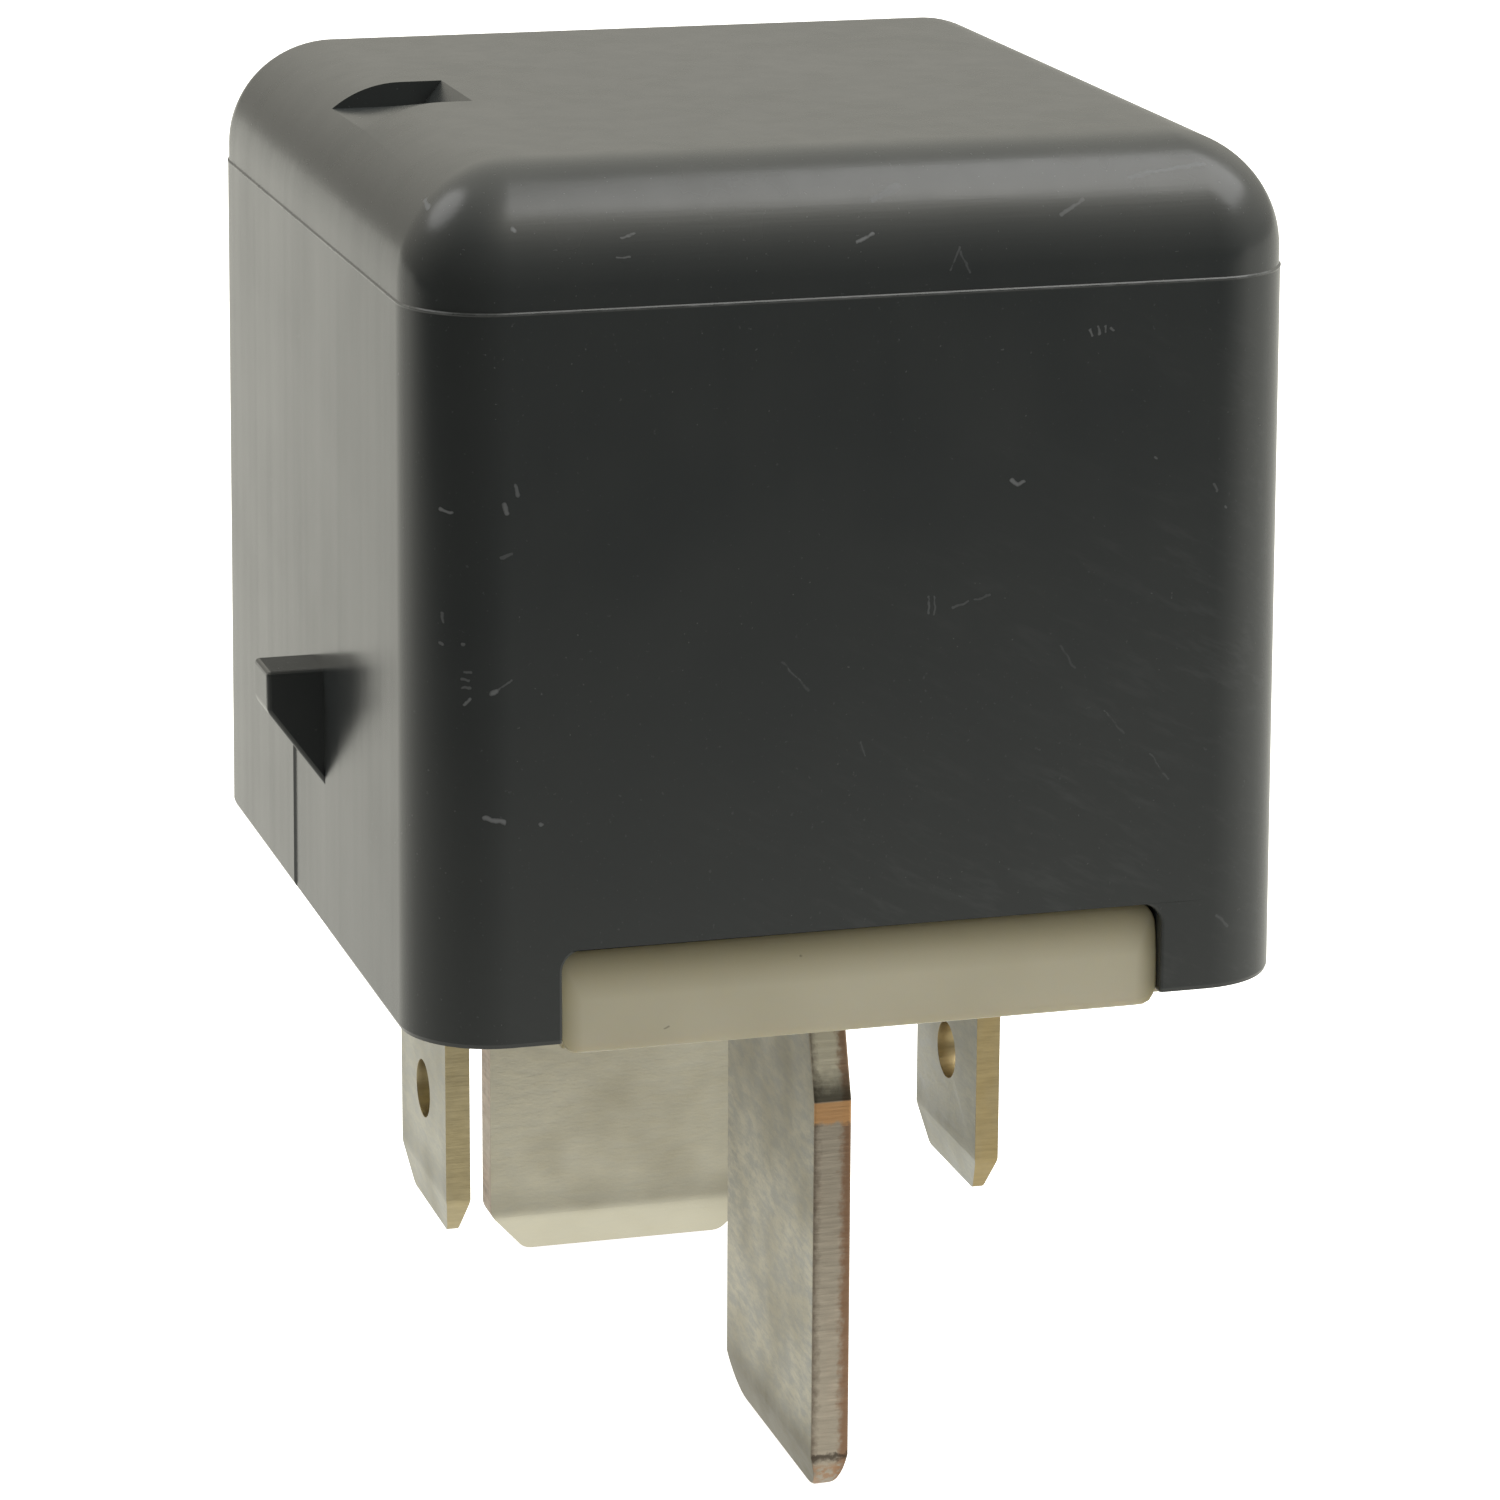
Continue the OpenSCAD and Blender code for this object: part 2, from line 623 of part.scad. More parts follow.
module armature() {
    color([0.66, 0.67, 0.68])
    rocked() translate([0, 0, arm_z]) linear_extrude(armature_t) difference() {
        union() {
            translate([0, (coil_back + 0.3 + yoke_y + yoke_t + 0.6) / 2])
                rounded_rect(yoke_w - armature_in, coil_back - yoke_y - yoke_t - 0.3, 0.8);
            translate([-(yoke_w / 2 - 1.9), yoke_y - 0.4]) square([yoke_w - 3.8, 4]);
            translate([-tail_w / 2, tail_y - 0.6]) square([tail_w, tail_out + 1.2]);
        }
        for (s = [-1, 1]) translate([s * rivet_pitch / 2, rivet_y]) circle(rivet_r + rivet_gap);
        translate([0, tail_y]) circle(spring_wire_r + 0.16);
    }
}

module contact_spring() {
    color([0.75, 0.5, 0.28])
    rocked() translate([0, 0, leaf_z]) linear_extrude(leaf_t) difference() {
        union() {
            translate([0, rivet_y - 0.5]) rounded_rect(leaf_w, 5.4, 0.6);
            translate([-leaf_w / 2 + 0.6, rivet_y]) square([leaf_w - 1.2, contact_y - rivet_y]);
            translate([0, contact_y]) circle(leaf_w / 2 - 0.6);
        }
        for (s = [-1, 1]) translate([s * rivet_pitch / 2, rivet_y]) circle(rivet_r + rivet_gap);
        translate([0, contact_y]) circle(rivet_r + rivet_gap);
    }
}

module leaf_rivets() {
    color([0.7, 0.68, 0.6])
    rocked() for (s = [-1, 1]) translate([s * rivet_pitch / 2, rivet_y, 0]) {
        translate([0, 0, arm_z - rivet_head_t]) cylinder(r = rivet_head_r, h = rivet_head_t);
        translate([0, 0, arm_z]) cylinder(r = rivet_r, h = armature_t + leaf_t);
        translate([0, 0, leaf_z + leaf_t]) cylinder(r = rivet_head_r, h = rivet_head_t);
    }
}

module moving_contact() {
    color([0.8, 0.8, 0.8])
    rocked() translate([0, contact_y, 0]) {
        translate([0, 0, leaf_z - moving_t]) cylinder(r1 = moving_r - 0.25, r2 = moving_r, h = 0.25);
        translate([0, 0, leaf_z - moving_t + 0.25]) cylinder(r = moving_r, h = moving_t - 0.25);
        translate([0, 0, leaf_z]) cylinder(r = rivet_r, h = leaf_t);
        translate([0, 0, leaf_z + leaf_t]) cylinder(r = rivet_head_r, h = rivet_head_t);
    }
}

module fixed_contact() {
    color([0.8, 0.8, 0.8])
    translate([0, contact_y, 0]) {
        translate([0, 0, arm87_z - power_t - rivet_head_t]) cylinder(r = rivet_head_r, h = rivet_head_t);
        translate([0, 0, arm87_z - power_t]) cylinder(r = rivet_r, h = power_t);
        translate([0, 0, arm87_z]) cylinder(r = fixed_r, h = fixed_t - 0.25);
        translate([0, 0, fixed_z - 0.25]) cylinder(r1 = fixed_r, r2 = fixed_r - 0.25, h = 0.25);
    }
}

// Close-wound helix of round wire standing on z = 0
module helix(r, wire_r, height, turns) {
    around = 18;
    sides = 8;
    steps = turns * around;
    points = [for (i = [0:steps], j = [0:sides - 1])
        let (a = 360 * i / around, b = 360 * j / sides,
             q = r + wire_r * cos(b), z = height * i / steps + wire_r * sin(b))
        [q * cos(a), q * sin(a), z]];
    sides_faces = [for (i = [0:steps - 1], j = [0:sides - 1])
        let (k = (j + 1) % sides)
        [i * sides + k, (i + 1) * sides + k, (i + 1) * sides + j, i * sides + j]];
    polyhedron(points, concat(sides_faces,
        [[for (j = [0:sides - 1]) sides - 1 - j]],
        [[for (j = [0:sides - 1]) steps * sides + j]]));
}

module return_spring() {
    low = lug_z + 0.3;
    high = yoke_top - 0.65;
    color([0.6, 0.6, 0.62])
    translate([0, tail_y, 0]) {
        translate([0, 0, low]) helix(spring_r, spring_wire_r, high - low, spring_turns);
        // ends brought to the middle, through the holes and bent over
        for (z = [low, high])
            translate([0, 0, z]) rotate([0, 90, 0]) cylinder(r = spring_wire_r * 0.93, h = spring_r + 0.07);
        translate([0, 0, lug_z - 1.1]) cylinder(r = spring_wire_r, h = low - lug_z + 1.1);
        translate([-0.7, 0, lug_z - 1.1]) rotate([0, 90, 0]) cylinder(r = spring_wire_r, h = 1.4);
        translate([0, 0, high]) cylinder(r = spring_wire_r, h = leaf_z + 0.2 - high);
        translate([-0.7, 0, leaf_z + 0.2]) rotate([0, 90, 0]) cylinder(r = spring_wire_r, h = 1.4);
    }
}

module braid() {
    mid = [yoke_y + 1.1, yoke_top + 0.2];
    r = 2.95;
    color([0.78, 0.45, 0.25])
    translate([-yoke_w / 2 + 0.5 + braid_w / 2, 0, 0]) along_x(braid_w) {
        translate([yoke_y - braid_t, lug_z + 1]) square([braid_t, 4.4]);
        polygon([[yoke_y - braid_t, lug_z + 5.2], [yoke_y, lug_z + 5.2],
                 [mid[0] - r + braid_t / 2, mid[1]], [mid[0] - r - braid_t / 2, mid[1]]]);
        translate(mid) intersection() {
            difference() { circle(r + braid_t / 2); circle(r - braid_t / 2); }
            translate([-5, -0.05]) square([5, 5]);
        }
        translate([yoke_y, yoke_top]) rotate(armature_open) {
            translate([2.9, leaf_z - yoke_top]) square([2.4, braid_t]);
            polygon([[3, leaf_z - yoke_top], [3, leaf_z - yoke_top + braid_t],
                     [1.2, 3.4], [1.2, 2.72]]);
        }
    }
}

module backstop() {
    x0 = stop_x - stop_w;
    color([0.7, 0.7, 0.7])
    union() {
        translate([x0, contact_y + 0.6, 1]) cube([stop_w, stop_t, stop_z + stop_t - 1]);
        translate([x0 - 0.5, contact_y + 0.6, base_h]) cube([stop_w + 1, stop_t, stop_t]);
        translate([x0, contact_y - 1.2, stop_z]) cube([stop_w, 1.8 + stop_t, stop_t]);
        translate([-rivet_pitch / 2, contact_y - 1.2, stop_z]) cube([x0 + 1 + rivet_pitch / 2, 2.2, stop_t]);
    }
}

module resistor() {
    color([0.3, 0.5, 0.55])
    translate([-resistor_len / 2, resistor_y, resistor_z]) rotate([0, 90, 0]) {
        cylinder(r = resistor_r, h = 1.1);
        translate([0, 0, 1.1]) cylinder(r = resistor_r - 0.12, h = resistor_len - 2.2);
        translate([0, 0, resistor_len - 1.1]) cylinder(r = resistor_r, h = 1.1);
    }
}

module resistor_leads() {
    color([0.75, 0.75, 0.74])
    for (s = [0, 1]) mirror([s, 0, 0])
        translate([resistor_len / 2, resistor_y, resistor_z]) rotate([0, 90, 0])
            cylinder(r = resistor_lead_r, h = tab_out - resistor_len / 2);
}

module solder_joints() {
    color([0.82, 0.82, 0.84])
    for (s = [0, 1]) mirror([s, 0, 0]) {
        translate([tab_out, coil_tab_y, coil_hole_z]) solder_dome(0.7 * solder_r);
        translate([tab_out, resistor_y, resistor_z]) solder_dome(solder_r);
    }
}

module solder_dome(r) {
    intersection() {
        sphere(r);
        translate([0, -r - 1, -r - 1]) cube([r + 1, 2 * r + 2, 2 * r + 2]);
    }
}

cover();
base();
terminal_30();
terminal_87();
terminal_85();
terminal_86();
yoke();
core();
bobbin();
coil_winding();
coil_tape();
coil_leads();
armature();
contact_spring();
leaf_rivets();
moving_contact();
fixed_contact();
return_spring();
braid();
backstop();
resistor();
resistor_leads();
solder_joints();
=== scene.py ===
import bpy, bmesh, math
from mathutils import Matrix, Vector


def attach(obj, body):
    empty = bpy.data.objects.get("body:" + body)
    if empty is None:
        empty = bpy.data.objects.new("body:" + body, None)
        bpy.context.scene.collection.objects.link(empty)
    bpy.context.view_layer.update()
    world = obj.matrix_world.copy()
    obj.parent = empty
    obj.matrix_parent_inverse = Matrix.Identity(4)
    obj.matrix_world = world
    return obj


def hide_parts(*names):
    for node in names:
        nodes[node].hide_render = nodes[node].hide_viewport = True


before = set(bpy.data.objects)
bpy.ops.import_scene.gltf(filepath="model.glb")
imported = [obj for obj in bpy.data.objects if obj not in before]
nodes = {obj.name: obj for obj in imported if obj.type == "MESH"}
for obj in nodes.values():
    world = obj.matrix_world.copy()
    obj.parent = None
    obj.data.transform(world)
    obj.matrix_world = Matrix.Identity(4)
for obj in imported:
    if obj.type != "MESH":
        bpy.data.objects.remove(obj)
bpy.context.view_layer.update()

# ---- Camera and room -------------------------------------------------------------------------
# A long lens looks down on the relay's front left edge. The room is a white table with a lamp
# high on the right, a smaller one behind on the left, and little light towards the camera.

MM = 0.001
scene = bpy.context.scene
scene.view_settings.view_transform = "Standard"

yaw, pitch, roll = math.radians(16.188), math.radians(15.512), math.radians(-0.298)
look = Vector((math.sin(yaw) * math.cos(pitch), math.cos(yaw) * math.cos(pitch), -math.sin(pitch)))
side = Vector((math.cos(yaw), -math.sin(yaw), 0))
below = look.cross(side)
right = side * math.cos(roll) + below * math.sin(roll)
down = below * math.cos(roll) - side * math.sin(roll)
camera_data = bpy.data.cameras.new("camera")
camera_data.sensor_width, camera_data.lens = 36, 137.39158
camera_data.shift_x, camera_data.shift_y = 0.005096, -0.000591
camera_data.clip_start, camera_data.clip_end = 0.01, 20
camera = bpy.data.objects.new("camera", camera_data)
camera.matrix_world = Matrix((right, -down, -look)).transposed().to_4x4()
camera.matrix_world.translation = Vector((-48.377, -168.397, 53.312)) * MM
scene.collection.objects.link(camera)
scene.camera = camera


def blank_tree(owner):
    owner.use_nodes = True
    owner.node_tree.nodes.clear()
    return owner.node_tree


def add(tree, kind, *inputs, **settings):
    """One node: its inputs in order (a socket is linked, None is left), then its settings."""
    n = tree.nodes.new("ShaderNode" + kind)
    for key, value in settings.items():
        setattr(n, key, value)
    for socket, value in zip(n.inputs, inputs):
        if isinstance(value, bpy.types.NodeSocket):
            tree.links.new(value, socket)
        elif value is not None:
            socket.default_value = value
    return n


def lamp(name, place, target, luminance, width, height, shape="RECTANGLE"):
    """An area lamp of a set luminance, which points at its target; places are in metres."""
    area = width * height * (1 if shape == "RECTANGLE" else math.pi / 4)
    data = bpy.data.lights.new(name, "AREA")
    data.shape, data.size, data.size_y = shape, width, height
    data.energy = luminance * math.pi * area
    ob = bpy.data.objects.new(name, data)
    ob.location = Vector(place)
    ob.rotation_mode = "QUATERNION"
    ob.rotation_quaternion = (Vector(target) - Vector(place)).to_track_quat("-Z", "Y")
    scene.collection.objects.link(ob)


lamp("lamp_right", (0.235, -0.05, 0.37), (0, 0, 0.01), 2.9, 0.33, 0.36)
lamp("lamp_left", (-0.19, 0.13, 0.26), (0, 0, 0.02), 2.3, 0.19, 0.18, shape="ELLIPSE")

world = bpy.data.worlds.new("room")
scene.world = world
t = blank_tree(world)
toward = add(t, "TexCoord").outputs["Generated"]
height = add(t, "SeparateXYZ", toward).outputs["Z"]
# the room is dark to the front and the left, and white elsewhere
to_front = add(t, "VectorMath", toward, (-0.5, -0.866, 0.0), operation="DOT_PRODUCT").outputs["Value"]
open_side = add(t, "MapRange", to_front, -0.2, 0.72, 0.95, 0.08).outputs[0]
# the far wall dims towards the table's edge
wall = add(t, "MapRange", height, 0.06, 0.5, 0.435, 0.95).outputs[0]
tone = add(t, "Math", open_side, wall, operation="MULTIPLY").outputs[0]
# the lamp on the right spreads a halo through its diffuser
off_lamp = add(t, "VectorMath", toward, (0.29, -0.39, 0.874), operation="DOT_PRODUCT").outputs["Value"]
off_lamp = add(t, "Math", 1.0342, off_lamp, operation="SUBTRACT").outputs[0]
halo = add(t, "Math", 0.07, off_lamp, operation="DIVIDE").outputs[0]
tone = add(t, "Math", tone, halo, operation="ADD").outputs[0]
grey = add(t, "CombineColor", tone, tone, tone).outputs[0]
room = add(t, "MixRGB", 1.0, grey, (1.0, 0.965, 0.845, 1), blend_type="MULTIPLY").outputs[0]
seen = add(t, "MixRGB", add(t, "LightPath").outputs["Is Camera Ray"], room, (1, 1, 1, 1)).outputs[0]
add(t, "OutputWorld", add(t, "Background", seen, 1.0).outputs[0])

# ---- Table -----------------------------------------------------------------------------------
# A plain white table top under the blades' tips. It keeps a faint shadow and is white elsewhere.

table_half, table_z = 1.5, -16.12 * MM
mesh = bpy.data.meshes.new("table")
corners = [(x * table_half, y * table_half, table_z) for x, y in ((-1, -1), (1, -1), (1, 1), (-1, 1))]
mesh.from_pydata(corners, [], [(0, 1, 2, 3)])
table = bpy.data.objects.new("table", mesh)
scene.collection.objects.link(table)
m = bpy.data.materials.new("table")
t = blank_tree(m)
path = add(t, "LightPath")
# away from the camera's sight the table darkens to the front and the left, as the room does
fade = add(t, "VectorMath", add(t, "TexCoord").outputs["Object"], (-0.55, -1.0, 0.0), operation="DOT_PRODUCT")
fade = add(t, "MapRange", fade.outputs["Value"], 0.0, 0.14, 0.85, 0.07).outputs[0]
diffuse = add(t, "BsdfDiffuse", add(t, "CombineColor", fade, fade, fade).outputs[0])
reflected = add(t, "Emission", (1.18, 1.165, 1.045, 1), fade)
top_white, glow = add(t, "BsdfDiffuse", (0.85, 0.85, 0.84, 1)), add(t, "Emission", (1, 1, 1, 1), 0.95)
seen = add(t, "AddShader", top_white.outputs[0], glow.outputs[0])
mix = add(t, "MixShader", path.outputs["Is Glossy Ray"], diffuse.outputs[0], reflected.outputs[0])
mix = add(t, "MixShader", path.outputs["Is Camera Ray"], mix.outputs[0], seen.outputs[0])
add(t, "OutputMaterial", mix.outputs[0])
table.data.materials.append(m)

# ---- Cover -----------------------------------------------------------------------------------
# A thin-walled cap, injection moulded in black filled plastic. The mould parts 21.7 mm above the
# rim and leaves a fine raised line there. It is clipped down over the base and is worn by handling.

cover_w, cover_d, cover_h, rim, wall_t = 27.0, 30.0, 25.6, 0.4, 1.2
corner_r, edge_r, rim_r, lean = 2.75, 3.4, 0.18, math.tan(math.radians(0.46))
seam, seam_bead, seam_step = 21.66, 0.012, 0.03
top, seam_z = rim + cover_h, rim + seam


def plan_ring(half_x, half_y, radius, z, steps=20):
    """A rounded rectangle at one height, counter-clockwise from the right side's front."""
    points = []
    for k, (sx, sy) in enumerate([(1, -1), (1, 1), (-1, 1), (-1, -1)]):
        for i in range(steps + 1):
            a = math.radians(90 * (k - 1) + 90 * i / steps)
            points.append(((sx * (half_x - radius) + radius * math.cos(a)) * MM,
                           (sy * (half_y - radius) + radius * math.sin(a)) * MM, z * MM))
    return points


def link_mesh(bm, name):
    """Makes an object of a bmesh, its faces turned outwards."""
    bmesh.ops.recalc_face_normals(bm, faces=bm.faces)
    mesh = bpy.data.meshes.new(name)
    bm.to_mesh(mesh)
    bm.free()
    ob = bpy.data.objects.new(name, mesh)
    scene.collection.objects.link(ob)
    return ob


def loft(rings, name):
    """A closed solid through rings of equal count, flat at both ends."""
    bm = bmesh.new()
    rows = [[bm.verts.new(p) for p in r] for r in rings]
    n = len(rings[0])
    for a, b in zip(rows, rows[1:]):
        for i in range(n):
            bm.faces.new((a[i], a[(i + 1) % n], b[(i + 1) % n], b[i]))
    bm.faces.new(list(reversed(rows[0])))
    bm.faces.new(rows[-1])
    weld = 0.0004 * MM
    bmesh.ops.remove_doubles(bm, verts=bm.verts, dist=weld)
    bmesh.ops.dissolve_degenerate(bm, edges=bm.edges, dist=weld)
    return link_mesh(bm, name)


def prism(profile, depth, name, place=Matrix.Identity(4)):
    """A flat profile in X and Z, extruded by depth along Y about the middle, in millimetres."""
    bm = bmesh.new()
    front = [bm.verts.new((x * MM, -depth / 2 * MM, z * MM)) for x, z in profile]
    back = [bm.verts.new((x * MM, depth / 2 * MM, z * MM)) for x, z in profile]
    n = len(profile)
    for i in range(n):
        bm.faces.new((front[i], front[(i + 1) % n], back[(i + 1) % n], back[i]))
    bm.faces.new(list(reversed(front)))
    bm.faces.new(back)
    bm.transform(place)
    return link_mesh(bm, name)


def at_y(y):
    return Matrix.Translation((0, y * MM, 0))


def mirrored(profile, sx):
    return [(sx * x, z) for x, z in profile]


def arch(half, height, radius, foot, steps):
    """A profile that stands on foot and has two round upper corners."""
    turns = [math.radians(90 * i / steps) for i in range(steps + 1)]
    arc = [(half - radius + radius * math.cos(a), height - radius + radius * math.sin(a)) for a in turns]
    return [(half, foot)] + arc + list(reversed(mirrored(arc, -1))) + [(-half, foot)]


def soften(ob, width, segments=2, angle=30, test=lambda p: True):
    """Rounds the sharp edges that pass the test on their middle point (in millimetres)."""
    bm = bmesh.new()
    bm.from_mesh(ob.data)
    bm.normal_update()
    edges = [e for e in bm.edges if len(e.link_faces) == 2 and e.calc_face_angle() > math.radians(angle)
             and test((e.verts[0].co + e.verts[1].co) / 2 / MM)]
    bmesh.ops.bevel(bm, geom=edges, offset=width * MM, segments=segments, profile=0.5,
                    affect="EDGES", clamp_overlap=True)
    bm.to_mesh(ob.data)
    bm.free()


def slice_off(ob, place, normal):
    """Cuts away what lies past a plane and closes the cut."""
    bm = bmesh.new()
    bm.from_mesh(ob.data)
    cut = bmesh.ops.bisect_plane(bm, geom=bm.verts[:] + bm.edges[:] + bm.faces[:], clear_outer=True,
                                 plane_co=Vector(place) * MM, plane_no=normal)
    bmesh.ops.contextual_create(bm, geom=[g for g in cut["geom_cut"] if isinstance(g, bmesh.types.BMEdge)])
    bmesh.ops.recalc_face_normals(bm, faces=bm.faces)
    bm.to_mesh(ob.data)
    bm.free()


def join_solids(ob, other, operation):
    mod = ob.modifiers.new("join", "BOOLEAN")
    mod.object, mod.operation, mod.solver = other, operation, "EXACT"
    bpy.context.view_layer.update()
    made = bpy.data.meshes.new_from_object(ob.evaluated_get(bpy.context.evaluated_depsgraph_get()))
    ob.modifiers.clear()
    ob.data = made
    bpy.data.objects.remove(other)


def smooth(ob, angle):
    for p in ob.data.polygons:
        p.use_smooth = True
    ob.data.set_sharp_from_angle(angle=math.radians(angle))


def outer(z, inset=0.0):
    """Half the cover's width and depth at a height: its walls lean in towards the top."""
    return (cover_w / 2 - lean * (z - rim) - inset, cover_d / 2 - lean * (z - rim) - inset)


rings = [plan_ring(*outer(rim, rim_r), corner_r - rim_r, rim),
         plan_ring(*outer(rim, 0.05), corner_r - 0.05, rim + 0.05),
         plan_ring(*outer(rim), corner_r, rim + rim_r)]
for k in range(1, 9):
    z = rim + rim_r + (seam_z - 0.05 - rim - rim_r) * k / 8
    rings.append(plan_ring(*outer(z), corner_r, z))
for rise, inset in ((-seam_bead, -seam_bead), (0.014, -seam_bead), (0.05, seam_step)):
    rings.append(plan_ring(*outer(seam_z, inset), corner_r, seam_z + rise))
for k in range(25):
    a = math.radians(90 * k / 24)
    z = top - edge_r * (1 - math.sin(a))
    inset = seam_step + edge_r * (1 - math.cos(a))
    rings.append(plan_ring(*outer(z, inset), corner_r * math.cos(a), z))
cover = loft(rings, "cover_shell")

# shallow panels under the latch wedges, their rear ends sloped out to the wall
panel_depth, panel_front, panel_rear = 0.06, -2.12, 2.62
for sx in (-1, 1):
    rings = []
    for z in (-0.5, 5.6):
        x = outer(z)[0]
        ring = [(x + 0.8, panel_front - 0.08), (x - panel_depth, panel_front), (x - panel_depth, panel_rear),
                (x, panel_rear + 0.1), (x + 0.8, panel_rear + 1.43)]
        rings.append([(sx * px * MM, py * MM, z * MM) for px, py in ring])
    join_solids(cover, loft(rings, "panel"), "DIFFERENCE")

# latch wedges on both sides, which click under the socket's springs
wedge_w, wedge_y, wedge_out, wedge_top, wedge_foot = 2.0, -0.9, 1.75, 8.7, 4.82
for sx in (-1, 1):
    x = outer(wedge_top)[0]
    profile = [(x - 0.6, wedge_top), (x + wedge_out, wedge_top), (x + wedge_out, wedge_top - 1.25),
               (x - 0.15, wedge_foot), (x - 0.6, wedge_foot)]
    wedge = prism(mirrored(profile, sx), wedge_w, "wedge", at_y(wedge_y))
    soften(wedge, 0.14, 3)
    join_solids(cover, wedge, "UNION")

# the hollow inside
rings = []
for z, i in ((rim - 0.5, 0), (top - wall_t - 2, 0), (top - wall_t - 0.6, 0.6), (top - wall_t, 2.0)):
    rings.append(plan_ring(*outer(z, wall_t + i), corner_r - wall_t, z))
join_solids(cover, loft(rings, "hollow"), "DIFFERENCE")

# the notch in the front rim, which the base's lip fills
notch_half, notch_z, notch_r = 9.23, rim + 2.85, 0.65
notch = prism(arch(notch_half, notch_z, notch_r, -1, 12), 4.8, "notch", at_y(-cover_d / 2))
join_solids(cover, notch, "DIFFERENCE")

# pockets for the base's snap ramps
snap_y, snap_w = 8.5, 4.0
for sx in (-1, 1):
    profile = mirrored([(11.0, 1.0), (12.85, 1.0), (12.85, 2.8), (11.0, 2.8)], sx)
    join_solids(cover, prism(profile, snap_w + 0.3, "pocket", at_y(snap_y)), "DIFFERENCE")

# the thumb recess in the top's left edge: a hollow floor that ramps up towards the front
recess_rear, recess_deep, recess_x, recess_wall = 2.4, 0.74, -8.55, math.radians(50)
floor_x, floor_w, floor_rise, past_top = -9.5, 2.5, 0.18, 29
rings = []
for k in range(33):
    y = recess_rear - 0.25 * k
    floor = []
    for i in range(25):
        x = -cover_w / 2 + 0.25 * i
        rise = floor_rise * (1 - min(max((floor_x - x) / floor_w, 0), 1) ** 2)
        floor.append((x * MM, y * MM, (top - recess_deep + rise * (recess_rear - y)) * MM))
    rings.append(floor + [(-7.5 * MM, y * MM, past_top * MM), (-cover_w / 2 * MM, y * MM, past_top * MM)])
recess = loft(rings, "recess")
slice_off(recess, (recess_x, 0, top), (math.sin(recess_wall), 0, -math.cos(recess_wall)))
join_solids(cover, recess, "DIFFERENCE")
# the notch's edges on the front are slightly rounded
soften(cover, 0.09, 2, 40, lambda p: abs(p.x) < 9.5 and p.y < -14 and p.z < 3.5)

smooth(cover, 8)
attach(cover, "relay")
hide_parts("cover")


def surface(name, colour=(0.5, 0.5, 0.5), roughness=0.5, metallic=0.0, **sockets):
    """A material with one Principled shader; returns it, its tree, its shader and place in millimetres."""
    m = bpy.data.materials.new(name)
    t = blank_tree(m)
    shader = add(t, "BsdfPrincipled")
    shader.inputs["Base Color"].default_value = (*colour, 1)
    shader.inputs["Roughness"].default_value = roughness
    shader.inputs["Metallic"].default_value = metallic
    for key, value in sockets.items():
        shader.inputs[key.replace("_", " ")].default_value = value
    add(t, "OutputMaterial", shader.outputs[0])
    place = add(t, "VectorMath", add(t, "TexCoord").outputs["Object"], operation="SCALE")
    place.inputs["Scale"].default_value = 1000
    return m, t, shader, place.outputs[0]


def grain(t, place, scale, detail=3.0, rough=0.5, stretch=(1, 1, 1)):
    """Noise from 0 to 1 about 0.5, with scale features to the millimetre."""
    if stretch != (1, 1, 1):
        place = add(t, "Mapping", place, None, None, stretch).outputs[0]
    return add(t, "TexNoise", place, None, scale, detail, rough).outputs[0]


def ramp(t, value, low, high, to_low=0.0, to_high=1.0, eased=False):
    """Maps low and high to to_low and to_high, and holds the value beyond them."""
    return add(t, "MapRange", value, low, high, to_low, to_high,
               interpolation_type="SMOOTHSTEP" if eased else "LINEAR").outputs[0]


def calc(t, operation, a, b=None):
    return add(t, "Math", a, b, operation=operation).outputs[0]


def blend(t, factor, a, b):
    a, b = [(*c, 1) if isinstance(c, tuple) and len(c) == 3 else c for c in (a, b)]
    return add(t, "MixRGB", factor, a, b).outputs[0]


def bump(t, shader, height, depth_mm, under=None):
    """Raises the surface by depth_mm times height."""
    b = add(t, "Bump")
    b.inputs["Strength"].default_value = 1.0
    b.inputs["Distance"].default_value = depth_mm * MM
    t.links.new(height, b.inputs["Height"])
    if under is not None:
        t.links.new(under, b.inputs["Normal"])
    t.links.new(b.outputs[0], shader.inputs["Normal"])
    return b.outputs[0]


def stroke_group():
    """A shader group that draws one stroke over the others it is given."""
    group = bpy.data.node_groups.new("stroke", "ShaderNodeTree")
    sockets = {"Vector": ("place", "a", "ab"), "Float": ("inverse", "half", "strength", "others")}
    for kind, names in sockets.items():
        for name in names:
            group.interface.new_socket(name, in_out="INPUT", socket_type="NodeSocket" + kind)
    group.interface.new_socket("mark", in_out="OUTPUT", socket_type="NodeSocketFloat")
    i, o = group.nodes.new("NodeGroupInput").outputs, group.nodes.new("NodeGroupOutput")
    from_a = add(group, "VectorMath", i["place"], i["a"], operation="SUBTRACT").outputs[0]
    along = add(group, "VectorMath", from_a, i["ab"], operation="DOT_PRODUCT").outputs["Value"]
    along = add(group, "Math", along, i["inverse"], operation="MULTIPLY", use_clamp=True).outputs[0]
    foot = add(group, "VectorMath", i["ab"], operation="SCALE")
    group.links.new(along, foot.inputs["Scale"])
    off = add(group, "VectorMath", from_a, foot.outputs[0], operation="SUBTRACT").outputs[0]
    far = add(group, "VectorMath", off, operation="LENGTH").outputs["Value"]
    mark = calc(group, "SUBTRACT", 1.0, calc(group, "DIVIDE", far, i["half"]))
    mark = add(group, "Math", mark, 1.6, operation="MULTIPLY", use_clamp=True).outputs[0]
    mark = calc(group, "MULTIPLY", mark, i["strength"])
    group.links.new(calc(group, "MAXIMUM", i["others"], mark), o.inputs[0])
    return group


